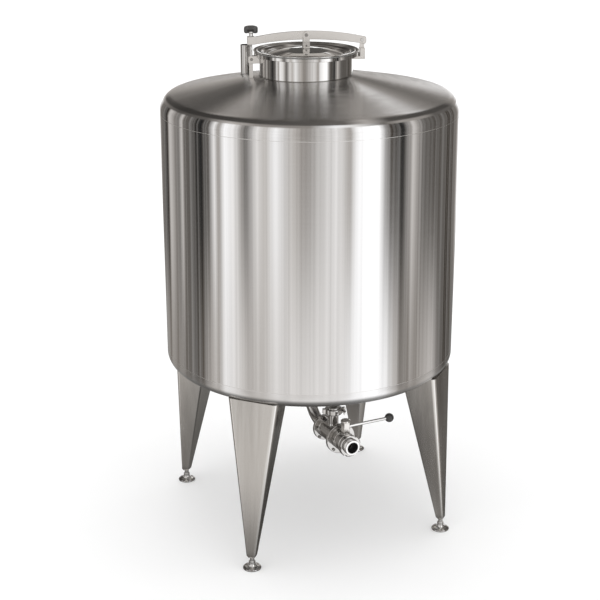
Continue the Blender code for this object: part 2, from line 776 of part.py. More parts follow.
def make_flange(name, ends, radius, valve, neck_start=None):
    """A round flange on the pipe's axis, with a weld neck behind it where neck_start is given."""
    start, end = ends
    profile = [
        (PIPE_BORE, end),
        (radius - 0.001, end),
        (radius, end - 0.001),
        (radius, start + 0.001),
        (radius - 0.001, start),
    ]
    if neck_start is None:
        profile.append((PIPE_BORE, start))
    else:
        profile.append((REAR_NECK_RADIUS, start))
        profile.append((REAR_NECK_RADIUS, start - 0.012))
        profile.append((PIPE_RADIUS, neck_start))
        profile.append((PIPE_BORE, neck_start))
    flange = lathe(name, profile, True, 40)
    lay_along_x(flange, (0, 0, PIPE_LEVEL))
    finish_part(flange, POLISHED_STEEL, valve)


def make_inlet_body(valve):
    """The body between the flanges, with a capped port standing on it."""
    body = rod("inlet_body", INLET_BODY_RADIUS, *INLET_BODY, steps=40)
    lay_along_x(body, (0, 0, PIPE_LEVEL))
    finish_part(body, POLISHED_STEEL, valve)
    profile = [
        (0, FERRULE_TOP),
        (FERRULE_RADIUS, FERRULE_TOP),
        (FERRULE_RADIUS, FERRULE_LOW + 0.003),
        (PORT_RADIUS, FERRULE_LOW),
        (PORT_RADIUS, PIPE_LEVEL + 0.02),
        (0, PIPE_LEVEL + 0.02),
    ]
    port = lathe("join_port", profile, steps=32)
    port.location = (PORT_REACH, 0, 0)
    combine(body, finish_cutter(port, valve), "UNION")
    bore = rod("cut_inlet_bore", PIPE_BORE, 0.1, 0.3, 32)
    lay_along_x(bore, (0, 0, PIPE_LEVEL))
    combine(body, finish_cutter(bore, valve))
    port_bore = rod("cut_port_bore", PORT_BORE, PIPE_LEVEL, FERRULE_TOP + 0.01)
    port_bore.location = (PORT_REACH, 0, 0)
    combine(body, finish_cutter(port_bore, valve))


def make_port_cap(valve):
    """The blind cap on the port, and the clamp ring and wing nut that hold it."""
    cap = rod("port_cap", FERRULE_RADIUS, FERRULE_TOP + GAP, PORT_CAP_TOP, 32)
    cap.location = (PORT_REACH, 0, 0)
    finish_part(cap, POLISHED_STEEL, valve)
    clamp = new_frame("clamp_frame", (PORT_REACH, 0, 0), CLAMP_TURN)
    clamp.parent = valve
    ring = tube("port_clamp", CLAMP_RADIUS, FERRULE_RADIUS + GAP, CLAMP_LOW, CLAMP_TOP, 40)
    finish_part(ring, POLISHED_STEEL, clamp)
    for side, end in ((-1, 0.042), (1, 0.046)):
        near = CLAMP_RADIUS - 0.004
        low = (min(side * near, side * end), -0.008, CLAMP_LOW + 0.002)
        high = (max(side * near, side * end), 0.008, CLAMP_TOP - 0.002)
        ear = box(f"join_clamp_ear_{side}", low, high)
        combine(ring, finish_cutter(ear, clamp), "UNION")
    make_wing_nut(clamp)


def make_wing_nut(clamp):
    """The wing nut at the side of the clamp ring."""
    level = (CLAMP_LOW + CLAMP_TOP) / 2
    nut = rod("wing_nut", 0.006, 0.0083, 0.0205, 16)
    lay_along_y(nut, (0.0395, 0, level))
    finish_part(nut, POLISHED_STEEL, clamp)
    wings = box("join_wings", (0.0365, -0.0185, level - 0.016), (0.0425, -0.0125, level + 0.016))
    combine(nut, finish_cutter(wings, clamp), "UNION")


def make_valve_body(valve):
    """The ball valve's body, its chamber, and the bonnet round its stem."""
    start, end = VALVE_BODY
    body = rod("valve_body", VALVE_BODY_RADIUS, start, end, 40)
    lay_along_x(body, (0, 0, PIPE_LEVEL))
    finish_part(body, POLISHED_STEEL, valve)
    bonnet = rod("join_bonnet", BONNET_RADIUS, PIPE_LEVEL + 0.028, BONNET_TOP, 32)
    bonnet.location = (BALL_REACH, 0, 0)
    combine(body, finish_cutter(bonnet, valve), "UNION")
    bore = rod("cut_valve_bore", PIPE_BORE, start - 0.01, CHAMBER_START + 0.01, 32)
    lay_along_x(bore, (0, 0, PIPE_LEVEL))
    combine(body, finish_cutter(bore, valve))
    chamber = rod("cut_chamber", CHAMBER_RADIUS, CHAMBER_START, end + 0.01, 32)
    lay_along_x(chamber, (0, 0, PIPE_LEVEL))
    combine(body, finish_cutter(chamber, valve))
    stem = rod("cut_stem_hole", STEM_RADIUS + GAP, PIPE_LEVEL, BONNET_TOP + 0.01)
    stem.location = (BALL_REACH, 0, 0)
    combine(body, finish_cutter(stem, valve))


def make_union_nut(valve):
    """The round nut that draws the outlet piece to the valve body."""
    start, end = UNION_NUT
    bore = OUTLET_RADIUS + GAP
    profile = [
        (bore, end),
        (UNION_NUT_RADIUS - 0.002, end),
        (UNION_NUT_RADIUS, end - 0.002),
        (UNION_NUT_RADIUS, start + 0.002),
        (UNION_NUT_RADIUS - 0.002, start),
        (bore, start),
    ]
    nut = lathe("union_nut", profile, True, 40)
    lay_along_x(nut, (0, 0, PIPE_LEVEL))
    finish_part(nut, POLISHED_STEEL, valve)


def make_outlet_end(valve):
    """The open outlet piece, whose inner lip seats the ball."""
    start = UNION_NUT[0]
    profile = [
        (OUTLET_BORE, OUTLET_END),
        (OUTLET_RADIUS, OUTLET_END),
        (OUTLET_RADIUS, start),
        (OUTLET_SEAT, start),
        (OUTLET_SEAT, start + 0.004),
        (OUTLET_BORE, start + 0.008),
    ]
    end = lathe("outlet_end", profile, True, 40)
    lay_along_x(end, (0, 0, PIPE_LEVEL))
    finish_part(end, POLISHED_STEEL, valve)


def make_valve_ball(lever):
    """The ball with its stem. Its bore lies across the pipe, as the lever shows."""
    top = math.degrees(math.acos(STEM_RADIUS / BALL_RADIUS))
    bend = arc((0, PIPE_LEVEL), BALL_RADIUS, top, -90, 8)
    stem_top = HUB_LOW - GAP
    profile = [(0, stem_top), (STEM_RADIUS, stem_top), *bend[:-1], (0, PIPE_LEVEL - BALL_RADIUS)]
    ball = lathe("valve_ball", profile, steps=24)
    finish_part(ball, POLISHED_STEEL, lever)
    bore = rod("cut_ball_bore", BALL_BORE, -0.04, 0.04, 32)
    lay_along_y(bore, (0, 0, PIPE_LEVEL))
    combine(ball, finish_cutter(bore, lever))


def make_lever(lever):
    """The lever: a square hub on the stem, a cap nut, a round rod and a black ball."""
    hub = box("lever_hub", (-HUB_HALF, -HUB_HALF, HUB_LOW), (HUB_HALF, HUB_HALF, HUB_TOP))
    finish_part(hub, SATIN_STEEL, lever)
    socket = rod("cut_rod_socket", LEVER_RADIUS + GAP, -0.03, -0.002)
    lay_along_y(socket, (0, 0, LEVER_LEVEL))
    combine(hub, finish_cutter(socket, lever))
    nut = rod("lever_nut", LEVER_NUT_RADIUS, HUB_TOP + GAP, LEVER_NUT_TOP, 24)
    finish_part(nut, SATIN_STEEL, lever)
    bar = rod("lever_rod", LEVER_RADIUS, -LEVER_LENGTH, -0.002 - GAP)
    lay_along_y(bar, (0, 0, LEVER_LEVEL))
    finish_part(bar, POLISHED_STEEL, lever)
    ends = arc((0, 0), LEVER_BALL_RADIUS, 90, -90, 10)
    ends[0] = (0, LEVER_BALL_RADIUS)
    ends[-1] = (0, -LEVER_BALL_RADIUS)
    grip = lathe("lever_ball", ends, steps=20)
    grip.location = (0, LEVER_LENGTH, LEVER_LEVEL)
    finish_part(grip, BLACK_PLASTIC, lever)
    hole = rod("cut_ball_hole", LEVER_RADIUS + GAP, -LEVER_LENGTH - GAP, -0.1)
    lay_along_y(hole, (0, 0, LEVER_LEVEL))
    combine(grip, finish_cutter(hole, lever))


def make_vessel(manway):
    """The shell, its two heads and the vent."""
    make_tank_shell()
    make_top_head(manway)
    make_bottom_head()
    make_vent_pipe()


def make_manway(manway):
    """Neck, lid, arm and swing bolt."""
    make_manway_neck(manway)
    make_lid(manway)
    make_lid_link(manway)
    make_lid_arm(manway)
    neck = neck_cutter(manway)
    make_hinge_bracket(manway, neck)
    make_bolt_bracket(manway, neck)
    make_swing_bolt(manway)
    make_clamp_knob(manway)


def make_legs():
    """The four legs with their feet."""
    under_head = under_head_cutter()
    for number, azimuth in enumerate(LEG_AZIMUTHS, start=1):
        frame = make_leg(number, azimuth, under_head)
        make_foot(number, frame)


def make_outlet():
    """The outlet pipe, the capped port and the lever valve."""
    valve = new_frame("valve_frame", (0, 0, 0), VALVE_TURN)
    make_outlet_elbow(valve)
    make_flange("rear_flange", REAR_FLANGE, REAR_FLANGE_RADIUS, valve, REAR_NECK_START)
    make_inlet_body(valve)
    make_port_cap(valve)
    make_flange("front_flange", FRONT_FLANGE, FRONT_FLANGE_RADIUS, valve)
    make_valve_body(valve)
    make_union_nut(valve)
    make_outlet_end(valve)
    lever = new_frame("lever_frame", (BALL_REACH, 0, 0), 0)
    lever.parent = valve
    make_valve_ball(lever)
    make_lever(lever)


clear_scene()
PARTS = new_collection("vertical_storage_tank")
CUTTERS = new_collection("cutters")
MANWAY = new_frame("manway_frame", (*MANWAY_MIDDLE, 0), ARM_TURN)
make_vessel(MANWAY)
make_manway(MANWAY)
make_legs()
make_outlet()
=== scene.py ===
"""Looks for the vertical storage tank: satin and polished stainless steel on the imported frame.

The file is laid out as an add-on and is run as a script. Lengths are metres, +Z is up, and the
outlet points almost along -Y.
"""

import math

import bmesh
import bpy
import numpy as np
from mathutils import Matrix


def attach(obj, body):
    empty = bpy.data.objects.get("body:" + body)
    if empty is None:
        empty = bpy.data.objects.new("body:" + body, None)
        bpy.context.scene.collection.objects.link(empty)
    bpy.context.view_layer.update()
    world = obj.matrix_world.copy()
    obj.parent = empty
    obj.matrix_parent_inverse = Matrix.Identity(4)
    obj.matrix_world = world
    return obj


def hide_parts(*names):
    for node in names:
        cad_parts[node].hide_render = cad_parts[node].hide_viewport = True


bl_info = {
    "name": "Vertical storage tank",
    "version": (1, 0, 0),
    "blender": (4, 5, 0),
    "location": "View3D > Sidebar > Tank",
    "description": "Builds the finished look of a stainless steel storage tank on its frame",
    "category": "Add Mesh",
}

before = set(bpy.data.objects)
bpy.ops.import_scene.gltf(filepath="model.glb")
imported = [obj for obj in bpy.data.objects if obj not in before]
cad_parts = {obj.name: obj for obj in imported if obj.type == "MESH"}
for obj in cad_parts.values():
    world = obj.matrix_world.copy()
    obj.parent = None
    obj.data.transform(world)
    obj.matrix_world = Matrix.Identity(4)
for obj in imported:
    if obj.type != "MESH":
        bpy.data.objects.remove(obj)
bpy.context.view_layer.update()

TURN = 2 * math.pi

# Between neighbouring pieces
GAP = 0.0003

# Points that near each other become one, and edges that bend more than that stay sharp
MERGE_DISTANCE = 0.0000005
SHARP_ANGLE = math.radians(42)

# Vessel sizes, as the solids have them
BODY_RADIUS = 0.55
SHEET = 0.003
BOTTOM_SEAM = 0.7093
TOP_SEAM = 1.6148
TOP_SLOPE = math.radians(10.8)
TOP_KNUCKLE = 0.053
TOP_KNUCKLE_START = 1.6295
BOTTOM_SLOPE = math.radians(8.0)
BOTTOM_KNUCKLE = 0.042
BOTTOM_KNUCKLE_START = 0.693
VENT_PLACE = (-0.1708, 0.2129)
OUTLET_HOLE = 0.0215

# Manway, in its own frame: +X towards the arm's hinge
MANWAY_MIDDLE = (-0.0129, 0.0054)
NECK_RADIUS = 0.170
HINGE = (0.206, 1.867)
BOLT_REACH = 0.200
BOLT_PIN_LEVEL = 1.805
LINK_TOP = 1.9004
MANWAY = Matrix.Translation((*MANWAY_MIDDLE, 0)) @ Matrix.Rotation(math.radians(-14.8), 4, "Z")
BOLT_PLACE = MANWAY @ Matrix.Translation((-BOLT_REACH, 0, 0))

# Outlet, in its own frame: +X along the pipe
PIPE_LEVEL = 0.398
PIPE_RADIUS = 0.0212
BORE_RADIUS = 0.0192
OUTLET = Matrix.Rotation(math.radians(-85.8), 4, "Z")
PORT_PLACE = OUTLET @ Matrix.Translation((0.205, 0, 0))
BALL_PLACE = OUTLET @ Matrix.Translation((0.303, 0, 0))

# A shape made about Z laid along X or along -Y
TO_X = Matrix.Rotation(math.pi / 2, 4, "Y")
TO_FRONT = Matrix.Rotation(math.pi / 2, 4, "X")

# Legs: heights of the small end, of the lowest and highest full section, and of the level top
LEG_AZIMUTHS = (-45.0, 45.0, 135.0, -135.0)
LEG_END = 0.045
LEG_LOW = 0.053
LEG_HIGH = 0.70
LEG_TOP = 0.6615

# Heights on the top head where its polish ends and its satin is full, and the roughness of both
POLISH_ENDS = (1.672, 1.685)
POLISH_TO_SATIN = (0.07, 0.20)


# Shapes


def grid_lump(grid, closed=False, capped=False):
    """Points and faces of a grid whose columns close on themselves, and its rows too if closed."""
    rows, columns = grid.shape[:2]
    last = rows if closed else rows - 1
    row, column = np.meshgrid(np.arange(last), np.arange(columns), indexing="ij")
    below = (row + 1) % rows * columns
    beside = (column + 1) % columns
    row = row * columns
    quads = np.stack([row + column, row + beside, below + beside, below + column], -1)
    faces = quads.reshape(-1, 4).tolist()
    if capped:
        faces.append(list(range(columns)))
        faces.append(list(range((rows - 1) * columns, rows * columns)))
    return grid.reshape(-1, 3), faces


def soften(profile, radius, segments, closed=True):
    """Rounds the corners of a profile.

    Each corner P gives way to (1-u)^2 A + 2u(1-u) P + u^2 B, where A and B lie on its two sides.
    A further point beyond A and beyond B keeps the flats flat when they are shaded.
    """
    points = np.asarray(profile, float)
    back = np.roll(points, 1, 0) - points
    ahead = np.roll(points, -1, 0) - points
    back_length = np.linalg.norm(back, axis=1)
    ahead_length = np.linalg.norm(ahead, axis=1)
    cut = np.minimum(radius, 0.4 * np.minimum(back_length, ahead_length))[:, None]
    back = back / back_length[:, None] * cut
    ahead = ahead / ahead_length[:, None] * cut
    u = np.linspace(0, 1, segments + 1)[None, :, None]
    start, corner, end = ((points + side)[:, None] for side in (back, 0, ahead))
    bend = (1 - u) ** 2 * start + 2 * u * (1 - u) * corner + u**2 * end
    hold = (points + 1.2 * back)[:, None], (points + 1.2 * ahead)[:, None]
    rows = np.concatenate([hold[0], bend, hold[1]], axis=1)
    if closed:
        return rows.reshape(-1, 2)
    return np.vstack([points[:1], rows[1:-1].reshape(-1, 2), points[-1:]])


def angles(count):
    """That many angles, spread evenly over a full turn."""
    return np.linspace(0, TURN, count, endpoint=False)


def round_points(radius, height, angle):
    """Points (r cos t, r sin t, z)."""
    return np.stack([radius * np.cos(angle), radius * np.sin(angle), height + 0 * angle], -1)


def unit(rows):
    """Each row divided by its length."""
    return rows / np.linalg.norm(rows, axis=1)[:, None]


def box(start_x, end_x, start_y, end_y):
    """The four corners of a rectangle, beginning with (start_x, start_y)."""
    return [(start_x, start_y), (end_x, start_y), (end_x, end_y), (start_x, end_y)]


def turned(profile, steps, closed=False):
    """Surface of revolution: (r cos t, r sin t, z) for each profile point (r, z) and angle t."""
    profile = np.asarray(profile, float)
    return grid_lump(round_points(profile[:, :1], profile[:, 1:], angles(steps)), closed)


def lathed(profile, softness, segments, steps, closed=True):
    """A turned shape with the corners of its profile softened."""
    return turned(soften(profile, softness, segments, closed), steps, closed)


def carried(path, section):
    """A section carried along a closed path: path(s) + x side(s) + y over(s).

    side is the path's direction crossed with +Z, and over is side crossed with the direction.
    """
    along = unit(np.roll(path, -1, 0) - np.roll(path, 1, 0))
    side = unit(np.cross(along, (0, 0, 1)))
    over = np.cross(side, along)
    grid = path[:, None] + section[None, :, :1] * side[:, None] + section[None, :, 1:] * over[:, None]
    return grid_lump(grid, closed=True)


def ring(radius, count):
    """Points of a circle, (r cos t, r sin t)."""
    return round_points(radius, 0, angles(count))[:, :2]


def arc(middle, radius, start, end, count):
    """Points of an arc between two angles in degrees."""
    angle = np.radians(np.linspace(start, end, count + 1))
    return np.stack([middle[0] + radius * np.cos(angle), middle[1] + radius * np.sin(angle)], -1)


def level_ring(radius, height, count):
    """Points of a level circle, (r cos t, r sin t, z)."""
    return round_points(radius, height, angles(count))


def inset(outline, distance):
    """The outline drawn in by a distance: each point moves along the mitre of its two sides."""
    ahead = unit(np.roll(outline, -1, 0) - outline)
    normal = np.stack([-ahead[:, 1], ahead[:, 0]], -1)
    before = np.roll(normal, 1, 0)
    mitre = (normal + before) / (1 + (normal * before).sum(1))[:, None]
    return outline + distance * mitre


def slab(outline, low, high, edge=0.0006):
    """A plate between two heights with rounded edges.

    It is inset e(1 - cos a) at height e(1 - sin a) from a face, a from 0 to 90 degrees.
    """
    outline = np.asarray(outline, float)
    x, y = outline.T
    if np.sum(x * np.roll(y, -1) - np.roll(x, -1) * y) < 0:
        outline = outline[::-1]
    angle = np.radians([0, 30, 60, 90])
    inward = np.concatenate([[0], edge * (1 - np.cos(angle)), [1.6 * edge]])
    drop = np.concatenate([[1.6 * edge], edge * (1 - np.sin(angle)), [0]])
    levels = np.concatenate([low + drop[::-1], high - drop])
    insets = np.concatenate([inward[::-1], inward])
    flat = np.stack([inset(outline, distance) for distance in insets])
    height = np.broadcast_to(levels[:, None, None], (*flat.shape[:2], 1))
    return grid_lump(np.concatenate([flat, height], -1), capped=True)


def bolt_head(across, low, high):
    """A hexagon head with its top corners turned off: the hexagon's radius r(t) clipped by a cone."""
    angle = angles(48)
    flat = across / 2 / np.cos((angle + math.pi / 6) % (math.pi / 3) - math.pi / 6)
    cone = 0.49 * across * np.array([9, 9, 1.13, 1.0, 0.9, 0.01])[:, None]
    radius = np.minimum(flat, cone)
    radius[0] = 0.0001
    height = np.array([low, low, high - 0.0013, high - 0.0003, high, high])[:, None]
    return grid_lump(round_points(radius, height, angle))


def moved(lump, *steps):
    """The lump taken through the given matrices, the last one first."""
    points, faces = lump
    matrix = Matrix.Identity(4)
    for step in steps:
        matrix = matrix @ step
    matrix = np.array(matrix)
    return points @ matrix[:3, :3].T + matrix[:3, 3], faces


def shift(x, y, z=0.0):
    """A move by that much."""
    return Matrix.Translation((x, y, z))


def spin(degrees):
    """A turn about Z."""
    return Matrix.Rotation(math.radians(degrees), 4, "Z")


def new_object(name, layers):
    """Makes one object of the lumps in each layer. A layer is a material and the lumps that have it."""
    mesh = bpy.data.meshes.new(name)
    points, faces, materials, start = [], [], [], 0
    for number, (material, lumps) in enumerate(layers):
        mesh.materials.append(material)
        for lump_points, lump_faces in lumps:
            points.append(lump_points)
            faces += [[start + corner for corner in face] for face in lump_faces]
            materials += [number] * len(lump_faces)
            start += len(lump_points)
    mesh.from_pydata(np.vstack(points).tolist(), [], faces)
    mesh.polygons.foreach_set("material_index", materials)
    work = bmesh.new()
    work.from_mesh(mesh)
    bmesh.ops.remove_doubles(work, verts=work.verts, dist=MERGE_DISTANCE)
    bmesh.ops.dissolve_degenerate(work, edges=work.edges, dist=MERGE_DISTANCE)
    bmesh.ops.recalc_face_normals(work, faces=work.faces)
    work.to_mesh(mesh)
    work.free()
    mesh.shade_smooth()
    mesh.set_sharp_from_angle(angle=SHARP_ANGLE)
    made = bpy.data.objects.new(name, mesh)
    bpy.context.scene.collection.objects.link(made)
    return made


def add_piece(name, body, slot, layers, *nodes):
    """Makes a piece of the layers, files it on its body and stands it in for the nodes."""
    piece = new_object(name, layers)
    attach(piece, body)
    if nodes:
        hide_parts(*nodes)


# Finishes


def feed(tree, socket, value):
    """Links the input to the value where that is a socket too, and sets it otherwise."""
    if isinstance(value, bpy.types.NodeSocket):
        tree.links.new(value, socket)
    else:
        socket.default_value = value


def fill(tree, node, **values):
    """Feeds the inputs that the names fit, and sets the node's own properties where none does."""
    for name, value in values.items():
        label = name.replace("_", " ").title()
        if label in node.inputs:
            feed(tree, node.inputs[label], value)
        else:
            setattr(node, name, value)


def add_node(tree, kind, *inputs, **values):
    """A shader node, filled by name and then from its first input on."""
    node = tree.nodes.new("ShaderNode" + kind)
    fill(tree, node, **values)
    for socket, value in zip(node.inputs, inputs):
        feed(tree, socket, value)
    return node


def maths(tree, operation, *inputs):
    """The result of a Math node."""
    return add_node(tree, "Math", *inputs, operation=operation).outputs[0]


def vector_maths(tree, operation, *inputs, result="Vector"):
    """The result of a Vector Math node."""
    return add_node(tree, "VectorMath", *inputs, operation=operation).outputs[result]


def smooth_step(tree, value, *limits):
    """A smooth step as the value goes from one limit to the next, from 0 to 1 or as two more say."""
    return add_node(tree, "MapRange", value, *limits, interpolation_type="SMOOTHSTEP").outputs["Result"]


def noise(tree, vector, **values):
    """The grey value of a noise texture."""
    return add_node(tree, "TexNoise", vector=vector, **values).outputs["Fac"]


def object_place(tree):
    """Where a shaded point lies on its object."""
    return add_node(tree, "TexCoord").outputs["Object"]


def ramp(tree, share, stops):
    """The colour that (place, colour) stops give to a share between 0 and 1."""
    node = add_node(tree, "ValToRGB", share)
    elements = node.color_ramp.elements
    for number, (place, colour) in enumerate(stops):
        stop = elements[number] if number < 2 else elements.new(place)
        stop.position = place
        stop.color = (*colour, 1)
    return node.outputs["Color"]


def grain_group():
    """Brushed grain: long fine lines from stretched noise, broad smudges, and what they do to the steel.

    With the lines n and the smudges s, roughness is r + depth (n - 0.5) + smudges (s - 0.5), and the
    colour is the steel's times 1 + depth (n - 0.5).
    """
    if "Brushed grain" in bpy.data.node_groups:
        return bpy.data.node_groups["Brushed grain"]
    tree = bpy.data.node_groups.new("Brushed grain", "ShaderNodeTree")
    number, colour, vector = ("NodeSocket" + kind for kind in ("Float", "Color", "Vector"))
    taken = {"Vector": vector, "Steel": colour, "Roughness": number, "Line Depth": number, "Smudges": number}
    given = {"Color": colour, "Roughness": number, "Height": number}
    for side, sockets in (("INPUT", taken), ("OUTPUT", given)):
        for label, kind in sockets.items():
            tree.interface.new_socket(label, in_out=side, socket_type=kind)
    start = tree.nodes.new("NodeGroupInput").outputs
    lines = noise(tree, start["Vector"], scale=1.0, detail=6.0, roughness=0.65)
    smudges = noise(tree, object_place(tree), scale=5.0, detail=4.0, roughness=0.6, distortion=0.4)
    smudge = maths(tree, "SUBTRACT", smudges, 0.5)
    line = maths(tree, "SUBTRACT", lines, 0.5)
    rough = maths(tree, "MULTIPLY_ADD", smudge, start["Smudges"], start["Roughness"])
    rough = maths(tree, "MULTIPLY_ADD", line, start["Line Depth"], rough)
    shade = maths(tree, "MULTIPLY_ADD", line, start["Line Depth"], 1.0)
    tint = add_node(tree, "VectorMath", start["Steel"], operation="SCALE", scale=shade)
    end = tree.nodes.new("NodeGroupOutput")
    fill(tree, end, color=tint.outputs[0], roughness=rough, height=lines)
    return tree


def new_material(name):
    """A new material, its tree and its shader."""
    material = bpy.data.materials.new(name)
    material.use_nodes = True
    tree = material.node_tree
    return material, tree, tree.nodes["Principled BSDF"]


def steel(name, colour, roughness, grain, depth, smudges, bump, directional=0.0, turn=0.0):
    """Stainless steel. grain is the noise's scale along X, Y and Z: small along the brush lines."""
    if name in bpy.data.materials:
        return bpy.data.materials[name]
    material, tree, shader = new_material(name)
    stretched = add_node(tree, "Mapping", vector=object_place(tree), scale=grain).outputs["Vector"]
    group = add_node(tree, "Group", node_tree=grain_group(), vector=stretched, steel=(*colour, 1))
    fill(tree, group, roughness=roughness, line_depth=depth, smudges=smudges)
    raised = add_node(tree, "Bump", strength=bump, distance=0.001, height=group.outputs["Height"])
    fill(tree, shader, base_color=group.outputs["Color"], roughness=group.outputs["Roughness"])
    fill(tree, shader, metallic=1.0, anisotropic=directional, anisotropic_rotation=turn)
    fill(tree, shader, normal=raised.outputs["Normal"])
    return material


def colours():
    """The colours that the panel holds."""
    return bpy.context.scene.tank_colours


def sizes():
    """The sizes that the panel holds."""
    return bpy.context.scene.tank_sizes


def shell_steel():
    """Rolled sheet, brushed round the body, so reflections smear up and down."""
    return steel(
        "brushed_shell", colours().satin, roughness=0.095, grain=(3, 3, 420), depth=0.035,
        smudges=0.02, bump=0.010, directional=1.0, turn=0.25,
    )


def head_steel():
    """Spun sheet: brushed on the cone and polished at the rolled edge and the straight flange."""
    made = "brushed_top" in bpy.data.materials
    material = steel(
        "brushed_top", colours().satin, roughness=0.21, grain=(14, 14, 300), depth=0.22,
        smudges=0.03, bump=0.04, directional=1.0, turn=0.25,
    )
    if made:
        return material
    tree = material.node_tree
    group = next(node for node in tree.nodes if node.type == "GROUP")
    height = add_node(tree, "SeparateXYZ", object_place(tree)).outputs["Z"]
    fill(tree, group, roughness=smooth_step(tree, height, *POLISH_ENDS, *POLISH_TO_SATIN))
    return material


def under_steel():
    """The bottom head's brushed sheet."""
    return steel(
        "brushed_bottom", colours().satin, roughness=0.17, grain=(6, 6, 300), depth=0.06,
        smudges=0.03, bump=0.02, directional=0.8, turn=0.25,
    )


def leg_steel():
    """Folded sheet, brushed up and down the leg."""
    return steel(
        "brushed_leg", colours().leg, roughness=0.21, grain=(50, 50, 1.2), depth=0.26,
        smudges=0.08, bump=0.03,
    )


def plate_steel():
    """Small cut plates with a fine satin finish."""
    return steel(
        "satin_plate", colours().plate, roughness=0.28, grain=(60, 60, 20), depth=0.04,
        smudges=0.03, bump=0.008,
    )


def bright_steel():
    """Polished turned fittings."""
    return steel(
        "polished_fitting", colours().polished, roughness=0.085, grain=(60, 60, 60), depth=0.05,
        smudges=0.04, bump=0.01,
    )


def valve_painted_shade_steel():
    """The outlet's pipe and valve and the arm's hinge pin: polished steel darkened as painted shade, dimmer
    than the other fittings.
    """
    return steel(
        "dimmed_valve_painted_shade", colours().outlet, roughness=0.07, grain=(60, 60, 60), depth=0.05,
        smudges=0.04, bump=0.01,
    )


def pin_and_shade_line_steel():
    """Dark ends of pins and screws, and the dark lines where the neck and the vent are welded on: partly weld
    and partly painted shade in the crease at the cone.
    """
    return steel(
        "pin_ends_and_painted_shade_lines", colours().pin, roughness=0.22, grain=(90, 90, 90), depth=0.10, smudges=0.05,
        bump=0.03,
    )


def neck_painted_shade_steel():
    """The polished neck, lid and vent: polished steel darkened as painted shade, dimmer than the small
    fittings.
    """
    return steel(
        "dimmed_neck_painted_shade", colours().neck, roughness=0.06, grain=(10, 10, 300), depth=0.04,
        smudges=0.02, bump=0.006,
    )


def weld_steel():
    """Weld beads, ground almost flush."""
    return steel(
        "ground_weld", colours().weld, roughness=0.38, grain=(120, 120, 120), depth=0.2,
        smudges=0.1, bump=0.2,
    )


def moulded(name, colour, roughness, bump):
    """Moulded plastic or rubber, and the outlet's painted shade: a fine speckle roughens it, and wear moves
    its colour and its shine.
    """
    if name in bpy.data.materials:
        return bpy.data.materials[name]
    material, tree, shader = new_material(name)
    place = object_place(tree)
    speckle = noise(tree, place, scale=900.0, detail=3.0)
    wear = noise(tree, place, scale=70.0, detail=4.0)
    stops = [(end, [value * strength for value in colour]) for end, strength in ((0, 0.75), (1, 1.3))]
    rough = add_node(tree, "MapRange", wear, to_min=roughness - 0.06, to_max=roughness + 0.08)
    raised = add_node(tree, "Bump", strength=bump, distance=0.0003, height=speckle)
    fill(tree, shader, base_color=ramp(tree, wear, stops), roughness=rough.outputs["Result"])
    fill(tree, shader, normal=raised.outputs["Normal"])
    return material


def knob_plastic():
    """The black plastic of the hand knob and the lever's ball."""
    return moulded("black_knob", colours().knob, roughness=0.17, bump=0.06)


def seal_rubber():
    """The manway's seal."""
    return moulded("grey_seal", colours().rubber, roughness=0.6, bump=0.3)


def painted_shade_bore():
    """A dull near-black sleeve inside the outlet: painted shade in its bore."""
    return moulded("bore_painted_shade", (0.012, 0.012, 0.012), roughness=0.75, bump=0.1)


# Vessel


def head_profile(seam, start, knuckle, slope, up, inner_radius, inward=0.0):
    """(r, z) of a head from its seam to inner_radius: straight flange, arc of the knuckle, straight cone."""
    middle = (BODY_RADIUS - knuckle, start)
    bend = arc(middle, knuckle - inward, 0, up * (90 - math.degrees(slope)), 16)
    rise = (bend[-1, 0] - inner_radius) * math.tan(slope)
    flange = [(BODY_RADIUS - inward, seam), (BODY_RADIUS - inward, (seam + start) / 2)]
    return np.vstack([flange, bend, [(inner_radius, bend[-1, 1] + up * rise)]])


def top_profile(inner_radius, inward=0.0):
    """(r, z) of the top head."""
    return head_profile(TOP_SEAM + GAP, TOP_KNUCKLE_START, TOP_KNUCKLE, TOP_SLOPE, 1, inner_radius, inward)


def bottom_profile(inner_radius, inward=0.0):
    """(r, z) of the bottom head."""
    shape = (BOTTOM_SEAM - GAP / 2, BOTTOM_KNUCKLE_START, BOTTOM_KNUCKLE, BOTTOM_SLOPE, -1)
    return head_profile(*shape, inner_radius, inward)


def cone_height(distance):
    """Height of the top cone's outer side at a distance from the tank's axis: a straight fall."""
    edge = top_profile(0.1)[-2]
    return edge[1] + (edge[0] - distance) * math.tan(TOP_SLOPE)


def top_head_lump():
    """The cone top as a grid: rings slide from the manway's middle to the tank's and lie on the cone.

    A ring of radius r has its centre at w times the manway's middle, w falling from 1 to 0 along
    the cone, and each of its points takes the cone's height at its own distance from the axis.
    """
    rings = []
    angle = angles(192)
    hole = NECK_RADIUS + GAP
    for inward in (0.0, SHEET):
        side = top_profile(0.3, inward)[:-1]
        tangent = side[-1]
        share = np.linspace(0, 1, 25)[1:, None]
        radius = tangent[0] + (hole - tangent[0]) * share
        x = MANWAY_MIDDLE[0] * share + radius * np.cos(angle)
        y = MANWAY_MIDDLE[1] * share + radius * np.sin(angle)
        z = tangent[1] + (tangent[0] - np.hypot(x, y)) * math.tan(TOP_SLOPE)
        flange = round_points(side[:, :1], side[:, 1:], angle)
        rings.append(np.concatenate([flange, np.stack([x, y, z], -1)]))
    return grid_lump(np.concatenate([rings[0], rings[1][::-1]]), closed=True)


def bead_path(middle, radius, count=120):
    """A circle lying on the top cone, (x, y, cone height)."""
    flat = ring(radius, count) + np.array(middle)
    return np.column_stack([flat, cone_height(np.hypot(flat[:, 0], flat[:, 1]))])


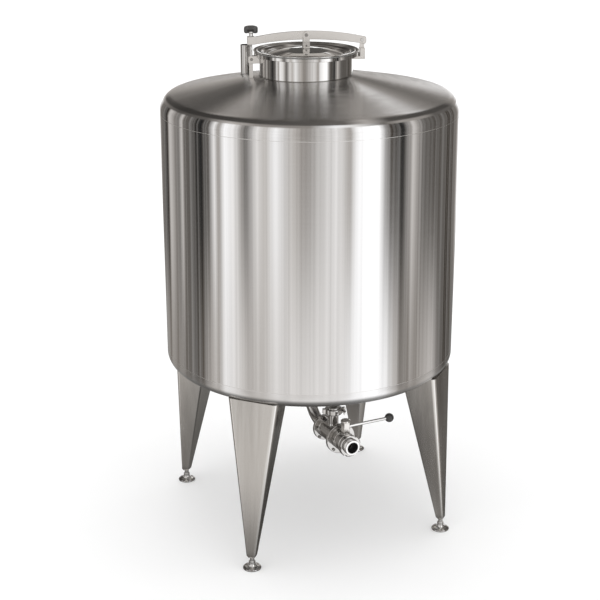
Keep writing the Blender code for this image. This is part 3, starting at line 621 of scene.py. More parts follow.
def make_vessel():
    """The shell and the two heads."""
    shell = box(BODY_RADIUS - SHEET, BODY_RADIUS, TOP_SEAM - GAP / 2, BOTTOM_SEAM + GAP / 2)
    lump = lathed(shell, 0.0004, 2, 192)
    add_piece("shell_sheet", "tank", "shell_steel", [(shell_steel(), [lump])], "tank_shell")
    add_piece("top_sheet", "tank", "head_steel", [(head_steel(), [top_head_lump()])], "top_head")
    outside, inside = (bottom_profile(OUTLET_HOLE, inward) for inward in (0.0, SHEET))
    lump = turned(np.vstack([outside, inside[::-1]]), 192, closed=True)
    add_piece("bottom_sheet", "tank", "head_steel", [(under_steel(), [lump])], "bottom_head")


def make_seams():
    """Weld beads: round the body at both seams, and at the foot of the neck and of the vent, where they are
    dark, partly weld and partly painted shade in the crease.
    """
    oval = ring(1, 10)[:, ::-1] * (sizes().seam_height, sizes().seam_width / 2)
    beads = [carried(level_ring(BODY_RADIUS - 0.0002, z, 192), oval) for z in (TOP_SEAM, BOTTOM_SEAM)]
    # The dark beads at the foot of the neck and the vent are partly painted shade in the crease
    fine = [
        carried(bead_path(MANWAY_MIDDLE, NECK_RADIUS + 0.0010), ring(0.0022, 8)),
        carried(bead_path(VENT_PLACE, 0.0195, 40), ring(0.0014, 8)),
    ]
    add_piece("weld_beads", "tank", "head_steel", [(weld_steel(), beads), (pin_and_shade_line_steel(), fine)])


def make_vent():
    """The open pipe stub."""
    lump = moved(lathed(box(0.017, 0.019, 1.834, 1.715), 0.0006, 3, 48), shift(*VENT_PLACE))
    add_piece("vent_stub", "tank", "bright_steel", [(neck_painted_shade_steel(), [lump])], "vent_pipe")


# Manway


# (radius, height) along the lid's upper side from its middle out, and back along its lower side
LID_UPPER = (
    (0.0, 1.8405), (0.03, 1.8400), (0.06, 1.8378), (0.09, 1.8340), (0.115, 1.8285), (0.130, 1.8235),
    (0.138, 1.8205), (0.144, 1.8215), (0.149, 1.8248), (0.154, 1.8253), (0.158, 1.8300),
    (0.163, 1.8332), (0.170, 1.8338), (0.176, 1.8341), (0.180, 1.8366), (0.188, 1.8375),
    (0.192, 1.8365), (0.192, 1.8335),
)
LID_LOWER = (
    (0.179, 1.8335), (0.1757, 1.8310), (0.1645, 1.8303), (0.160, 1.8268), (0.1553, 1.8224),
    (0.150, 1.8218), (0.146, 1.8188), (0.138, 1.8175), (0.130, 1.8203), (0.115, 1.8253), (0.09, 1.8309),
    (0.06, 1.8347), (0.03, 1.8370), (0.0, 1.8375),
)


def make_neck():
    """The neck with its turned-down lip, and the seal on it."""
    profile = [
        (0.167, 1.8297), (0.1895, 1.8297), (0.1895, 1.8176), (0.1865, 1.8176), (0.1865, 1.8267),
        (0.170, 1.8267), (0.170, 1.735), (0.167, 1.735),
    ]
    lump = moved(lathed(profile, 0.0016, 4, 160), MANWAY)
    add_piece("neck_ring", "tank", "bright_steel", [(neck_painted_shade_steel(), [lump])], "manway_neck")
    lump = moved(lathed(box(0.179, 0.188, 1.8332, 1.8300), 0.0010, 3, 128), MANWAY)
    add_piece("seal_ring", "tank", "seal_rubber", [(seal_rubber(), [lump])], "manway_seal")


def make_lid():
    """The spun lid."""
    lump = moved(lathed(LID_UPPER + LID_LOWER, 0.0025, 3, 160, closed=False), MANWAY)
    add_piece("lid_dish", "arm", "bright_steel", [(neck_painted_shade_steel(), [lump])], "lid")


def upright(outline, near, far, edge=0.0006):
    """A plate standing along X, from an outline in (x, z), between two distances along Y."""
    return moved(slab(outline, -far, -near, edge), MANWAY, TO_FRONT)


def pin_lump(radius, front, back, place):
    """A pin along Y with a turned-down head on each end: a turned profile laid on its side."""
    head, tip = radius + 0.0025, 0.0023
    profile = [
        (0.0, front + tip), (head, front + tip), (head, front + GAP), (radius, front + GAP),
        (radius, -back - GAP), (head, -back - GAP), (head, -back - tip), (0.0, -back - tip),
    ]
    lump = lathed(profile, 0.0007, 2, 32, closed=False)
    return moved(lump, MANWAY, shift(place[0], 0, place[1]), TO_FRONT)


def make_link():
    """The U bracket between lid and arm: a foot, two folded ears, a screw and the pin."""
    low, fold, half = 1.8408, 1.862, 0.0123
    foot = soften(box(-half, half, -0.0165, 0.0165), 0.002, 3)
    lumps = [moved(slab(foot, low, low + 0.004), MANWAY)]
    top = arc((0, LINK_TOP - half), half, 0, 180, 20)
    upper = np.vstack([top, [(-half, fold + 0.0005), (half, fold + 0.0005)]])
    lower = box(half + 0.0004, -half - 0.0004, fold, low + 0.001)
    for side in (-1, 1):
        lumps.append(upright(upper, *sorted((side * 0.0046, side * 0.0086))))
        lumps.append(upright(lower, *sorted((side * 0.0048, side * 0.0094))))
    screw = moved(bolt_head(0.0065, 0.0092, 0.0118), MANWAY, shift(0, 0, 1.8500), TO_FRONT)
    layers = [(plate_steel(), lumps), (pin_and_shade_line_steel(), [screw])]
    add_piece("link_bracket", "arm", "plate_steel", layers, "lid_link")
    pin = pin_lump(0.004, 0.0086, 0.0086, (0, 1.8885))
    add_piece("link_pin", "arm", "bright_steel", [(pin_and_shade_line_steel(), [pin])], "lid_link_pin")


def arm_edge(x, middle, radius):
    """Height of an edge of the arched arm: middle - R + sqrt(R^2 - x^2)."""
    return middle - radius + np.sqrt(radius**2 - x**2)


def make_arm():
    """The arched bar and its fork."""
    corner = 0.007
    end = HINGE[0] + 0.015 - corner
    x = np.linspace(-0.192, end, 40)
    upper = np.column_stack([x, arm_edge(x, 1.903, 0.97)])
    lower = np.column_stack([x, arm_edge(x, 1.872, 1.20)])
    top = arc((end, upper[-1, 1] - corner), corner, 90, 0, 8)[1:]
    under = arc((end, lower[-1, 1] + corner), corner, 0, -90, 8)[:-1]
    lumps = [upright(np.vstack([upper, top, under, lower[::-1]]), -0.004, 0.004, 0.0014)]
    slot = arc((-BOLT_REACH, 0), 0.0052, -90, 90, 12)
    tines = [(-0.214, 0.0052), (-0.214, 0.012), (-0.188, 0.012)]
    mirrored = [(x, -y) for x, y in reversed(tines)]
    lumps.append(moved(slab(np.vstack([slot, tines, mirrored]), 1.858, 1.886, 0.0008), MANWAY))
    add_piece("arm_bar", "arm", "plate_steel", [(plate_steel(), lumps)], "lid_arm")


def make_hinge():
    """The bracket beside the neck and the arm's hinge pin."""
    foot, near, far = 0.1700, 0.1972, 0.2155
    outline = [(foot, 1.7986), (far, 1.7986), (far, 1.8376), (near, 1.8376), (near, 1.8092), (foot, 1.8092)]
    lumps = [upright(soften(outline, 0.0012, 3), -0.012, 0.016, 0.0008)]
    top = arc(HINGE, 0.0095, 0, 135, 20)
    ear = np.vstack([[(near + 0.0003, 1.830), (far - 0.0003, 1.830)], top])
    lumps.append(upright(ear, 0.0046, 0.0106))
    add_piece("hinge_block", "tank", "plate_steel", [(plate_steel(), lumps)], "hinge_bracket")
    pin = pin_lump(0.005, 0.004, 0.0106, HINGE)
    add_piece("hinge_rod", "tank", "bright_steel", [(valve_painted_shade_steel(), [pin])], "hinge_pin")


def make_bolt_bracket():
    """The two ears that hold the swing bolt's eye, joined at the neck, and their post to the cone."""
    end = -BOLT_REACH - 0.0115
    foot, low, top = -0.1703, 1.790, 1.8172
    ear = [
        (foot, low), (foot, 1.8055), (-0.182, top), (end + 0.004, top), (end, top - 0.004),
        (end, low + 0.003), (end + 0.003, low),
    ]
    back = [(foot, low), (foot, 1.8052), (-0.182, 1.8169), (-0.186, 1.8169), (-0.186, low)]
    post = [(-0.195, 1.7388), (-0.195, 1.7895), (-0.209, 1.7895), (-0.209, 1.7362)]
    ear = soften(ear, 0.0008, 2)
    lumps = [upright(ear, -0.0105, -0.0055), upright(ear, 0.0055, 0.0105)]
    lumps += [upright(back, -0.0056, 0.0056), upright(post, -0.0100, -0.0060)]
    add_piece("bolt_ears", "tank", "plate_steel", [(plate_steel(), lumps)], "bolt_bracket")
    pin = pin_lump(0.003, 0.0105, 0.0105, (-BOLT_REACH, BOLT_PIN_LEVEL))
    add_piece("bolt_rod", "tank", "bright_steel", [(pin_and_shade_line_steel(), [pin])], "bolt_pin")


def make_swing_bolt():
    """The eye bolt: a turned eye, and a rod whose radius ripples as its thread, r + a cos(2 pi z / p)."""
    eye = lathed(box(0.0034, 0.0085, 0.0048, -0.0048), 0.0008, 3, 40)
    eye = moved(eye, BOLT_PLACE, shift(0, 0, BOLT_PIN_LEVEL), TO_FRONT)
    z = np.linspace(1.850, 1.9035, 160)
    thread = np.column_stack([0.0040 + 0.0002 * np.cos(TURN * z / 0.00125), z])
    low = [(0.0, 1.8125), (0.0042, 1.8125), (0.0042, 1.8495)]
    high = [(0.0042, 1.914), (0.0, 1.914)]
    rod = moved(turned(np.vstack([low, thread, high]), 24), BOLT_PLACE)
    add_piece("eye_bolt", "swing_bolt_body", "bright_steel", [(bright_steel(), [eye, rod])], "swing_bolt")


def grip_lump():
    """The knob's grip: a disc of three lobes, each with a skirt that hangs beside the hub.

    r(t, z) = p(z) + a cos 3(t - turn) near the top. Below, it falls to the hub's radius in the
    three gaps: r = hub + (r - hub) s(t), s a smooth step of how near t is to a lobe's middle.
    """
    profile = np.array([
        (0.0128, 1.9080), (0.0180, 1.8998), (0.0215, 1.8993), (0.0238, 1.9020), (0.0243, 1.9075),
        (0.0243, 1.9125), (0.0242, 1.9135), (0.0241, 1.9175), (0.0228, 1.9215), (0.0190, 1.9235),
        (0.0110, 1.9243), (0.0, 1.9244),
    ])
    angle = angles(144)
    radius, height = profile[:, :1], profile[:, 1:]
    wave = np.cos(3 * (angle - math.radians(-38)))
    lobed = radius + 0.0026 * wave * np.clip(radius / 0.024, 0, 1) ** 4
    share = np.clip((wave + 0.15) / 0.5, 0, 1)
    share = share * share * (3 - 2 * share)
    deep = np.clip((1.9132 - height) / 0.0012, 0, 1)
    swept = lobed + deep * (1 - share) * np.minimum(profile[0, 0] - lobed, 0)
    low = np.maximum(height, 1.9085)
    level = np.where(height < 1.9075, low + (height - low) * share, height + 0 * angle)
    return grid_lump(round_points(swept, level, angle))


def make_knob():
    """The hand knob: a turned steel hub and a black grip."""
    hub = [
        (0.0045, 1.9046), (0.012, 1.9046), (0.012, 1.899), (0.0075, 1.897), (0.0075, 1.8868),
        (0.0045, 1.8868),
    ]
    hub = moved(lathed(hub, 0.0007, 3, 40), BOLT_PLACE)
    add_piece("knob_stem", "knob", "bright_steel", [(bright_steel(), [hub])], "knob_hub")
    grip = moved(grip_lump(), BOLT_PLACE)
    add_piece("knob_cap", "knob", "black_plastic", [(knob_plastic(), [grip])], "knob_grip")


# Legs and feet


def leg_section(reach, width, depth, bend):
    """A leg's outline as (outwards, sideways) points: a trapezium whose corners are arcs."""
    lean = 5.0
    half = width / 2
    narrow = half - depth * math.tan(math.radians(lean))
    small = bend * 0.6
    back = reach - depth
    return np.vstack([
        arc((reach - bend, half - bend), bend, 0, 90 + lean, 10),
        arc((back + small, narrow - small), small, 90 + lean, 180, 5),
        arc((back + small, -narrow + small), small, 180, 270 - lean, 5),
        arc((reach - bend, -half + bend), bend, 270 - lean, 360, 10),
    ])


def leg_outline(height):
    """The section at a height: every value changes evenly from the foot to the head."""
    share = (height - LEG_END) / (LEG_HIGH - LEG_END)
    low, high = np.array((0.5712, 0.034, 0.0295, 0.007)), np.array((0.5405, 0.203, 0.148, 0.016))
    return leg_section(*(low + (high - low) * share))


def leg_lump():
    """A leg: straight lines from the low section to where each meets the bottom head or the level top.

    The meeting height is found by putting the height back into z = head(distance) a few times.
    """
    low, high = leg_outline(LEG_LOW), leg_outline(LEG_HIGH)
    length = LEG_HIGH - LEG_LOW
    top = np.full(len(low), 0.66)
    edge = bottom_profile(0.01)[:1:-1]
    for _ in range(8):
        place = low + (high - low) * ((top - LEG_LOW) / length)[:, None]
        top = np.minimum(LEG_TOP, np.interp(np.hypot(*place.T), edge[:, 0], edge[:, 1]) - 0.0002)
    share = np.linspace(0, 1, 30)[:, None, None]
    height = LEG_LOW + (top[None, :, None] - LEG_LOW) * share
    flat = low + (high - low) * (height - LEG_LOW) / length
    walls = np.concatenate([flat, height], -1)
    end = leg_section(0.5662, 0.024, 0.0195, 0.003)
    end = np.column_stack([end, np.full(len(end), LEG_END)])
    return grid_lump(np.concatenate([end[None], walls]), capped=True)


def make_legs():
    """The four legs."""
    lump = leg_lump()
    for number, azimuth in enumerate(LEG_AZIMUTHS, start=1):
        piece = moved(lump, spin(azimuth))
        add_piece(f"leg_box_{number}", "tank", "leg_steel", [(leg_steel(), [piece])], f"leg_{number}")


def make_feet():
    """The levelling feet: a bell-shaped plate and a spindle with its nut."""
    bell = [
        (0.0, 0.022), (0.0115, 0.022), (0.0125, 0.0165), (0.0165, 0.0115), (0.0275, 0.0085),
        (0.0335, 0.0055), (0.034, 0.003), (0.0335, 0.0), (0.0, 0.0),
    ]
    spindle = [
        (0.0, 0.0447), (0.0085, 0.0447), (0.0085, 0.0295), (0.0125, 0.0293), (0.0125, 0.0223),
        (0.0, 0.0223),
    ]
    bell = lathed(bell, 0.002, 3, 64, closed=False)
    spindle = lathed(spindle, 0.0008, 3, 40, closed=False)
    for number, azimuth in enumerate(LEG_AZIMUTHS, start=1):
        place = spin(azimuth) @ shift(0.556, 0)
        layers = [(bright_steel(), [moved(bell, place)])]
        add_piece(f"foot_bell_{number}", "tank", "bright_steel", layers, f"foot_plate_{number}")
        layers = [(bright_steel(), [moved(spindle, place)])]
        add_piece(f"foot_screw_{number}", "tank", "bright_steel", layers, f"foot_spindle_{number}")


# Outlet


def on_pipe(lump):
    """A shape made about Z, laid along the outlet pipe."""
    return moved(lump, OUTLET, shift(0, 0, PIPE_LEVEL), TO_X)


def pipe_turned(profile, softness=0.0008):
    """A turned fitting on the outlet pipe: (radius, distance along the pipe) points."""
    return on_pipe(lathed(profile, softness, 3, 72))


def make_elbow():
    """The outlet pipe: straight down, a quarter turn, then level.

    Its points are path(s) + r (cos t beside + sin t over(s)), out on the outer wall and back on the
    inner one.
    """
    bend = arc((0.106, PIPE_LEVEL + 0.106), 0.106, 180, 270, 32)
    route = np.vstack([[(0, 0.5865), (0, 0.545)], bend, [(0.1147, PIPE_LEVEL)]])
    path = np.column_stack([route[:, 0], np.zeros(len(route)), route[:, 1]])
    beside = np.array((0.0, 1.0, 0.0))
    over = np.cross(beside, unit(np.gradient(path, axis=0)))
    angle = angles(40)[None, :, None]
    across = np.cos(angle) * beside + np.sin(angle) * over[:, None]
    outer, inner = (path[:, None] + radius * across for radius in (PIPE_RADIUS, BORE_RADIUS))
    lump = grid_lump(np.concatenate([outer, inner[::-1]]), closed=True)
    weld = carried(level_ring(0.0222, 0.5816, 40), ring(0.0018, 8))
    layers = [(valve_painted_shade_steel(), [moved(lump, OUTLET)]), (weld_steel(), [moved(weld, OUTLET)])]
    add_piece("outlet_bend", "tank", "bright_steel", layers, "outlet_elbow")


def flange_bolts(reach, circle):
    """Six bolt heads on a circle on the outer face of a flange."""
    head = bolt_head(0.010, 0, 0.005)
    face = OUTLET @ shift(reach, 0, PIPE_LEVEL) @ TO_X
    return [moved(head, face, spin(degrees), shift(circle, 0)) for degrees in range(20, 380, 60)]


def make_flanges():
    """The rear flange with its weld neck, the front flange, and their bolts."""
    rear = [
        (BORE_RADIUS, 0.148), (0.053, 0.148), (0.053, 0.136), (0.026, 0.136), (0.026, 0.124),
        (PIPE_RADIUS, 0.115), (BORE_RADIUS, 0.115),
    ]
    bolts = flange_bolts(0.1481, 0.0465)
    layers = [(valve_painted_shade_steel(), [pipe_turned(rear, 0.0015)]), (pin_and_shade_line_steel(), bolts)]
    add_piece("rear_ring", "tank", "bright_steel", layers, "rear_flange")
    front = pipe_turned(box(BORE_RADIUS, 0.0595, 0.268, 0.256), 0.0015)
    layers = [(valve_painted_shade_steel(), [front]), (pin_and_shade_line_steel(), flange_bolts(0.2681, 0.0495))]
    add_piece("front_ring", "tank", "bright_steel", layers, "front_flange")


def make_inlet():
    """The body between the flanges and its open port."""
    body = [
        (BORE_RADIUS, 0.2557), (0.040, 0.2557), (0.040, 0.246), (0.0385, 0.244), (0.0385, 0.160),
        (0.040, 0.158), (0.040, 0.1483), (BORE_RADIUS, 0.1483),
    ]
    port = [
        (0.0175, 0.487), (0.0252, 0.487), (0.0252, 0.480), (0.0195, 0.477), (0.0195, 0.440),
        (0.0215, 0.431), (0.0175, 0.431),
    ]
    port = moved(lathed(port, 0.0008, 3, 48), PORT_PLACE)
    layers = [(valve_painted_shade_steel(), [pipe_turned(body), port])]
    add_piece("inlet_barrel", "tank", "bright_steel", layers, "inlet_body")


def clamp_lumps():
    """The clamp's band and the two pairs of ears that its screw joins."""
    band = [
        (0.0256, 0.502), (0.031, 0.502), (0.034, 0.4985), (0.034, 0.4825), (0.031, 0.479),
        (0.0256, 0.479),
    ]
    lumps = [lathed(band, 0.0012, 3, 72)]
    for side, end in ((-1, 0.042), (1, 0.046)):
        for low, high in ((-0.0075, -0.0015), (0.0015, 0.0075)):
            ear = soften(box(side * 0.030, side * end, low, high), 0.0012, 2)
            lumps.append(slab(ear, 0.481, 0.500))
    return lumps


def wing_nut_lumps():
    """The clamp's screw along Z with its nut and the nut's two wings."""
    screw = turned(box(0.0, 0.003, 0.0205, -0.010), 20)
    nut = [(0.0, 0.0190), (0.006, 0.0190), (0.0065, 0.0083), (0.0, 0.0083)]
    lumps = [screw, lathed(nut, 0.0008, 2, 32, closed=False)]
    wing = np.array([(-0.0028, 0.004), (0.0028, 0.004), (0.0038, 0.013), (0.0, 0.0165), (-0.0038, 0.013)])
    for side in (-1, 1):
        lumps.append(slab(soften(wing * (1, side), 0.002, 3), 0.0125, 0.0155))
    return lumps


def make_port_cap():
    """The blind cap, the two-piece clamp and the wing nut."""
    cap = [
        (0.0, 0.5045), (0.016, 0.5045), (0.019, 0.507), (0.0235, 0.507), (0.0252, 0.504),
        (0.0252, 0.4873), (0.0, 0.4873),
    ]
    layers = [(valve_painted_shade_steel(), [moved(lathed(cap, 0.0012, 3, 64, closed=False), PORT_PLACE)])]
    add_piece("blind_cap", "tank", "bright_steel", layers, "port_cap")
    turn = PORT_PLACE @ spin(75)
    layers = [(valve_painted_shade_steel(), [moved(lump, turn) for lump in clamp_lumps()])]
    add_piece("clamp_band", "tank", "bright_steel", layers, "port_clamp")
    seat = turn @ shift(0.0395, 0, 0.4905) @ TO_FRONT
    layers = [(valve_painted_shade_steel(), [moved(lump, seat) for lump in wing_nut_lumps()])]
    add_piece("wing_screw", "tank", "bright_steel", layers, "wing_nut")


def notched(profile, count, depth, share):
    """A turned ring whose outer side has notches: r(t) = r - depth k(t) where r is near the rim.

    k(t) is a smooth step of how near the angle t is to the middle of one of count notches.
    """
    angle = angles(240)
    away = np.abs((angle * count / TURN) % 1 - 0.5) * 2
    notch = np.clip((share - away) / 0.08 + 0.5, 0, 1)
    radius, height = profile[:, :1], profile[:, 1:]
    rim = np.clip((radius - (radius.max() - 1.6 * depth)) / (0.6 * depth), 0, 1)
    return grid_lump(round_points(radius - depth * rim * notch, height, angle), closed=True)


def make_valve():
    """The valve's body with its bonnet, and the slotted union nut."""
    body = [
        (BORE_RADIUS, 0.2683), (0.036, 0.2683), (0.036, 0.2725), (0.039, 0.2745), (0.039, 0.2835),
        (0.0375, 0.2845), (0.0375, 0.2885), (0.039, 0.2895), (0.039, 0.3185), (0.037, 0.3205),
        (0.037, 0.3265), (0.0222, 0.3265), (0.0222, 0.281), (BORE_RADIUS, 0.281),
    ]
    bonnet = [(0.0063, 0.4402), (0.015, 0.4402), (0.017, 0.438), (0.017, 0.424), (0.0063, 0.424)]
    bonnet = moved(lathed(bonnet, 0.0008, 3, 48), BALL_PLACE)
    layers = [(valve_painted_shade_steel(), [pipe_turned(body, 0.0006), bonnet])]
    add_piece("valve_barrel", "tank", "bright_steel", layers, "valve_body")
    nut = [
        (0.030, 0.3445), (0.041, 0.3445), (0.0435, 0.342), (0.0435, 0.3293), (0.041, 0.3268),
        (0.030, 0.3268),
    ]
    lump = on_pipe(notched(soften(nut, 0.001, 3), 6, 0.003, 0.25))
    add_piece("slotted_nut", "tank", "bright_steel", [(valve_painted_shade_steel(), [lump])], "union_nut")


def make_outlet_end():
    """The threaded end piece, its radius rippling as r + a cos(2 pi x / p), and a dark sleeve in its bore as
    painted shade.
    """
    x = np.linspace(0.3475, 0.3585, 60)
    thread = np.column_stack([0.0292 + 0.0005 * np.cos(TURN * x / 0.0028), x])[::-1]
    outside = [(0.0225, 0.362), (0.0288, 0.362), (0.0297, 0.3610)]
    rest = [(0.0297, 0.3468), (0.0297, 0.3268), (0.0225, 0.3268)]
    outer = on_pipe(turned(np.vstack([outside, thread, rest]), 72, closed=True))
    # A thin near-black sleeve inside the bore: painted shade
    bore = [(0.0224, 0.3618), (0.0224, 0.3350), (0.0175, 0.3310), (0.0175, 0.3270)]
    shade_sleeve = [(0.0170, 0.3270), (0.0170, 0.3310), (0.0220, 0.3350), (0.0220, 0.3616)]
    bore = on_pipe(turned(bore + shade_sleeve, 48, closed=True))
    layers = [(bright_steel(), [outer]), (painted_shade_bore(), [bore])]
    add_piece("outlet_spout", "tank", "bright_steel", layers, "outlet_end")


def make_lever():
    """The valve's ball, the square hub with its nut, the rod and the ball knob."""
    radius, half, level, end = 0.0215, 0.012, 0.4615, 0.190
    round_side = arc((0, PIPE_LEVEL), radius, 73.8, -90, 40)
    ball = np.vstack([[(0.0, 0.4402), (0.006, 0.4402)], round_side[:-1], [(0.0, PIPE_LEVEL - radius)]])
    layers = [(bright_steel(), [moved(turned(ball, 48), BALL_PLACE)])]
    add_piece("ball_plug", "lever", "bright_steel", layers, "valve_ball")
    square = soften(box(-half, half, -half, half), 0.0015, 3)
    hub = moved(slab(square, 0.4405, 0.4815, 0.0008), BALL_PLACE)
    add_piece("hub_block", "lever", "plate_steel", [(plate_steel(), [hub])], "lever_hub")
    nut = [
        (0.0, 0.491), (0.0145, 0.491), (0.0180, 0.4885), (0.0185, 0.4868), (0.0185, 0.4818),
        (0.0, 0.4818),
    ]
    nut = moved(lathed(nut, 0.0008, 3, 48, closed=False), BALL_PLACE)
    add_piece("hub_nut", "lever", "plate_steel", [(plate_steel(), [nut])], "lever_nut")
    rod = lathed(box(0.0, 0.0058, -0.0025, -end), 0.0005, 2, 32, closed=False)
    rod = moved(rod, BALL_PLACE, shift(0, 0, level), TO_FRONT)
    add_piece("lever_bar", "lever", "bright_steel", [(bright_steel(), [rod])], "lever_rod")
    grip = arc((0, 0), 0.0175, 90, -90, 32)
    grip[[0, -1], 0] = 0
    grip = moved(turned(grip, 48), BALL_PLACE, shift(0, end, level), TO_FRONT)
    add_piece("lever_grip", "lever", "black_plastic", [(knob_plastic(), [grip])], "lever_ball")


# Stage


# Radius of the floor that steel mirrors, and of the whole floor
NEAR_FLOOR = 1.5
FAR_FLOOR = 60.0

# How much of the studio's light the near floor shows in steel, by the distance from its shade's middle
SHADE_MIDDLE = (-0.14, -0.04, 0.0)
SHADE_REACH = 1.3
SHADE_COLOUR = (0.055, 0.051, 0.047, 1)
FLOOR_SHADE = ((0, 0.03), (0.30, 0.08), (0.50, 0.26), (0.75, 0.46), (1.0, 0.74), (1.28, 1.0))

# Light and dark studio screens round the tank: degrees from the camera's side, brightness
SCREENS = (
    (-180, 1.25), (-168, 0.90), (-158, 0.20), (-139, 0.06), (-133, 0.58), (-117, 0.15), (-113, 0.62),
    (-109, 0.17), (-90, 0.03), (-82, 0.12), (-76, 0.88), (-72, 0.36), (-66, 1.12), (-58, 0.82),
    (-52, 0.24), (-49, 0.12), (-40, 0.80), (-33, 0.55), (-26, 1.00), (-12, 0.48), (-2, 0.28),
    (20, 0.86), (30, 0.40), (36, 1.08), (51, 1.45), (60, 0.16), (74, 0.02), (84, 0.60), (95, 0.12),
    (140, 0.14), (152, 0.25), (162, 1.30),
)

# The same lower down, where the floor's light fills the gaps between them
LOW_SCREENS = (
    (-180, 0.45), (-170, 0.18), (-148, 0.32), (-120, 0.27), (-97, 0.12), (-86, 0.24), (-80, 0.50),
    (-73, 0.45), (-67, 0.92), (-50, 0.58), (-36, 0.52), (-26, 0.74), (24, 0.82), (34, 1.05), (50, 1.22),
    (60, 1.05), (68, 0.60), (74, 0.28), (92, 0.34), (108, 0.60), (120, 0.14), (140, 0.12), (158, 0.18),
    (172, 0.70),
)

# The same for what the cone top mirrors, by the way its surface faces
CONE_LIGHTS = (
    (-180, 1.00), (-120, 0.80), (-100, 0.42), (-83, 0.22), (-74, 0.09), (-58, 0.09), (-52, 0.30),
    (-46, 0.48), (-38, 0.34), (-24, 0.15), (0, 0.10), (18, 0.17), (25, 0.30), (36, 0.28), (45, 0.36),
    (51, 0.82), (57, 0.85), (63, 0.34), (73, 0.20), (81, 0.11), (88, 0.28), (98, 0.50), (120, 0.70),
)

# And for the tight bend at the cone's edge: its thin bright line, then what lies above that
RIM_LIGHTS = (
    (-180, 0.50), (-90, 0.60), (-78, 0.20), (-60, 0.08), (-43, 0.12), (-32, 0.48), (-20, 0.30),
    (0, 0.28), (10, 1.00), (18, 0.80), (29, 0.16), (37, 0.36), (50, 0.30), (56, 0.12), (72, 0.12),
    (80, 0.40), (88, 1.20),
)
EDGE_LIGHTS = (
    (-180, 0.50), (-100, 0.80), (-90, 0.40), (-82, 0.08), (-60, 0.04), (-30, 0.06), (0, 0.10),
    (14, 0.14), (23, 0.45), (33, 0.08), (70, 0.07), (80, 0.30), (90, 0.90),
)

# The mirrored direction's height where the low screens give way to the others
LOW_SPAN = (-0.37, -0.26)

# Where the ceiling turns from bright at the back to dark towards the camera
FRONT_SPAN = (-0.060, -0.040)
BRIGHT_CEILING = (1.2, 1.2, 1.2, 1)
DARK_CEILING = (0.09, 0.087, 0.082, 1)

# How high the steel faces where ground gives way to walls, then to rim, edge, cone and ceiling
LEAN_SPANS = ((-0.55, -0.25), (0.50, 0.58), (0.64, 0.72), (0.86, 0.95), (0.986, 0.991))
GROUND_COLOUR = (0.22, 0.22, 0.215, 1)
GROUND_SHARE = 0.65

# Scale and depth of the streaks
WALL_STREAKS = ((10.0, 0.65), (27.0, 0.45), (64.0, 0.30))
CONE_STREAKS = ((9.0, 0.35), (24.0, 0.22))

# The least of the streaked light, and the strength of what steel mirrors and of the light all round
LEAST_LIGHT = 0.015
SCREEN_STRENGTH = 1.25
SOFT_STRENGTH = 1.24

# The camera: its place, its turn in degrees, its lens and sensor in millimetres, and the side and
# the rise in degrees that the mirrored lights are set for
CAMERA_PLACE = (-1.913, -4.544, 2.580)
CAMERA_TURN = (70.91, 0, -22.412)
CAMERA_LENS = 81.08
CAMERA_SENSOR = 36.0
CAMERA_AZIMUTH = -112.83
CAMERA_RISE = 10.5


def floor_paint():
    """Pale paint. For glossy rays it is a painted shadow: a dark emission round the tank giving way to the
    studio's light further out, so steel mirrors it as dim as a floor in the tank's own shade.
    """
    material, tree, shader = new_material("floor_with_painted_shadow")
    place = object_place(tree)
    tone = add_node(tree, "MapRange", noise(tree, place, scale=2.0, detail=3.0), to_min=0.93, to_max=0.95)
    fill(tree, shader, base_color=tone.outputs["Result"], roughness=0.9)
    shader.inputs["Specular IOR Level"].default_value = 0.1
    distance = vector_maths(tree, "DISTANCE", place, SHADE_MIDDLE, result="Value")
    stops = [(reach / SHADE_REACH, (value,) * 3) for reach, value in FLOOR_SHADE]
    shade = ramp(tree, maths(tree, "DIVIDE", distance, SHADE_REACH), stops)
    dark = add_node(tree, "Emission", color=SHADE_COLOUR, strength=1.0)
    clear = add_node(tree, "BsdfTransparent")
    dim = add_node(tree, "MixShader", shade, dark.outputs[0], clear.outputs[0])
    mirrored = add_node(tree, "LightPath").outputs["Is Glossy Ray"]
    choose = add_node(tree, "MixShader", mirrored, shader.outputs[0], dim.outputs[0])
    fill(tree, tree.nodes["Material Output"], surface=choose.outputs[0])
    return material


def make_floor():
    """A pale floor. Steel mirrors only its near disc."""
    paint = floor_paint()
    for name, inner, outer in (("floor_near", 0.0, NEAR_FLOOR), ("floor_far", NEAR_FLOOR, FAR_FLOOR)):
        grid = np.stack([level_ring(radius, 0, 96) for radius in np.linspace(inner, outer, 8)])
        floor = new_object(name, [(paint, [grid_lump(grid)])])
        if floor.data.polygons[0].normal.z < 0:
            floor.data.flip_normals()
        floor.visible_glossy = name == "floor_near"


def azimuth_of(tree, vector):
    """The vector's azimuth, atan2(y, x)."""
    axes = add_node(tree, "SeparateXYZ", vector).outputs
    return maths(tree, "ARCTAN2", axes["Y"], axes["X"])


def twice_round(tree, vector):
    """The level direction whose azimuth from the camera's side is twice the vector's."""
    camera = math.radians(CAMERA_AZIMUTH)
    doubled = maths(tree, "MULTIPLY_ADD", azimuth_of(tree, vector), 2, -camera)
    x, y = maths(tree, "COSINE", doubled), maths(tree, "SINE", doubled)
    return add_node(tree, "CombineXYZ", x, y).outputs[0]


def round_light(tree, vector, stops):
    """Brightness by a vector's azimuth, in degrees from the camera's side: atan2(y, x) on a ramp.

    Dim light is a little warm and strong light a little cool, by 1.5 (1 - v) kept between 0 and 1.
    """
    around = maths(tree, "MULTIPLY_ADD", azimuth_of(tree, vector), 1 / TURN, 0.5 - CAMERA_AZIMUTH / 360)
    tinted = []
    for degrees, value in stops:
        warm = min(max(1.5 * (1 - value), 0), 1)
        colour = (value, value * (1 - 0.07 * warm), value * (1.01 - 0.145 * warm))
        tinted.append((degrees / 360 + 0.5, colour))
    return ramp(tree, maths(tree, "FRACT", around), tinted)


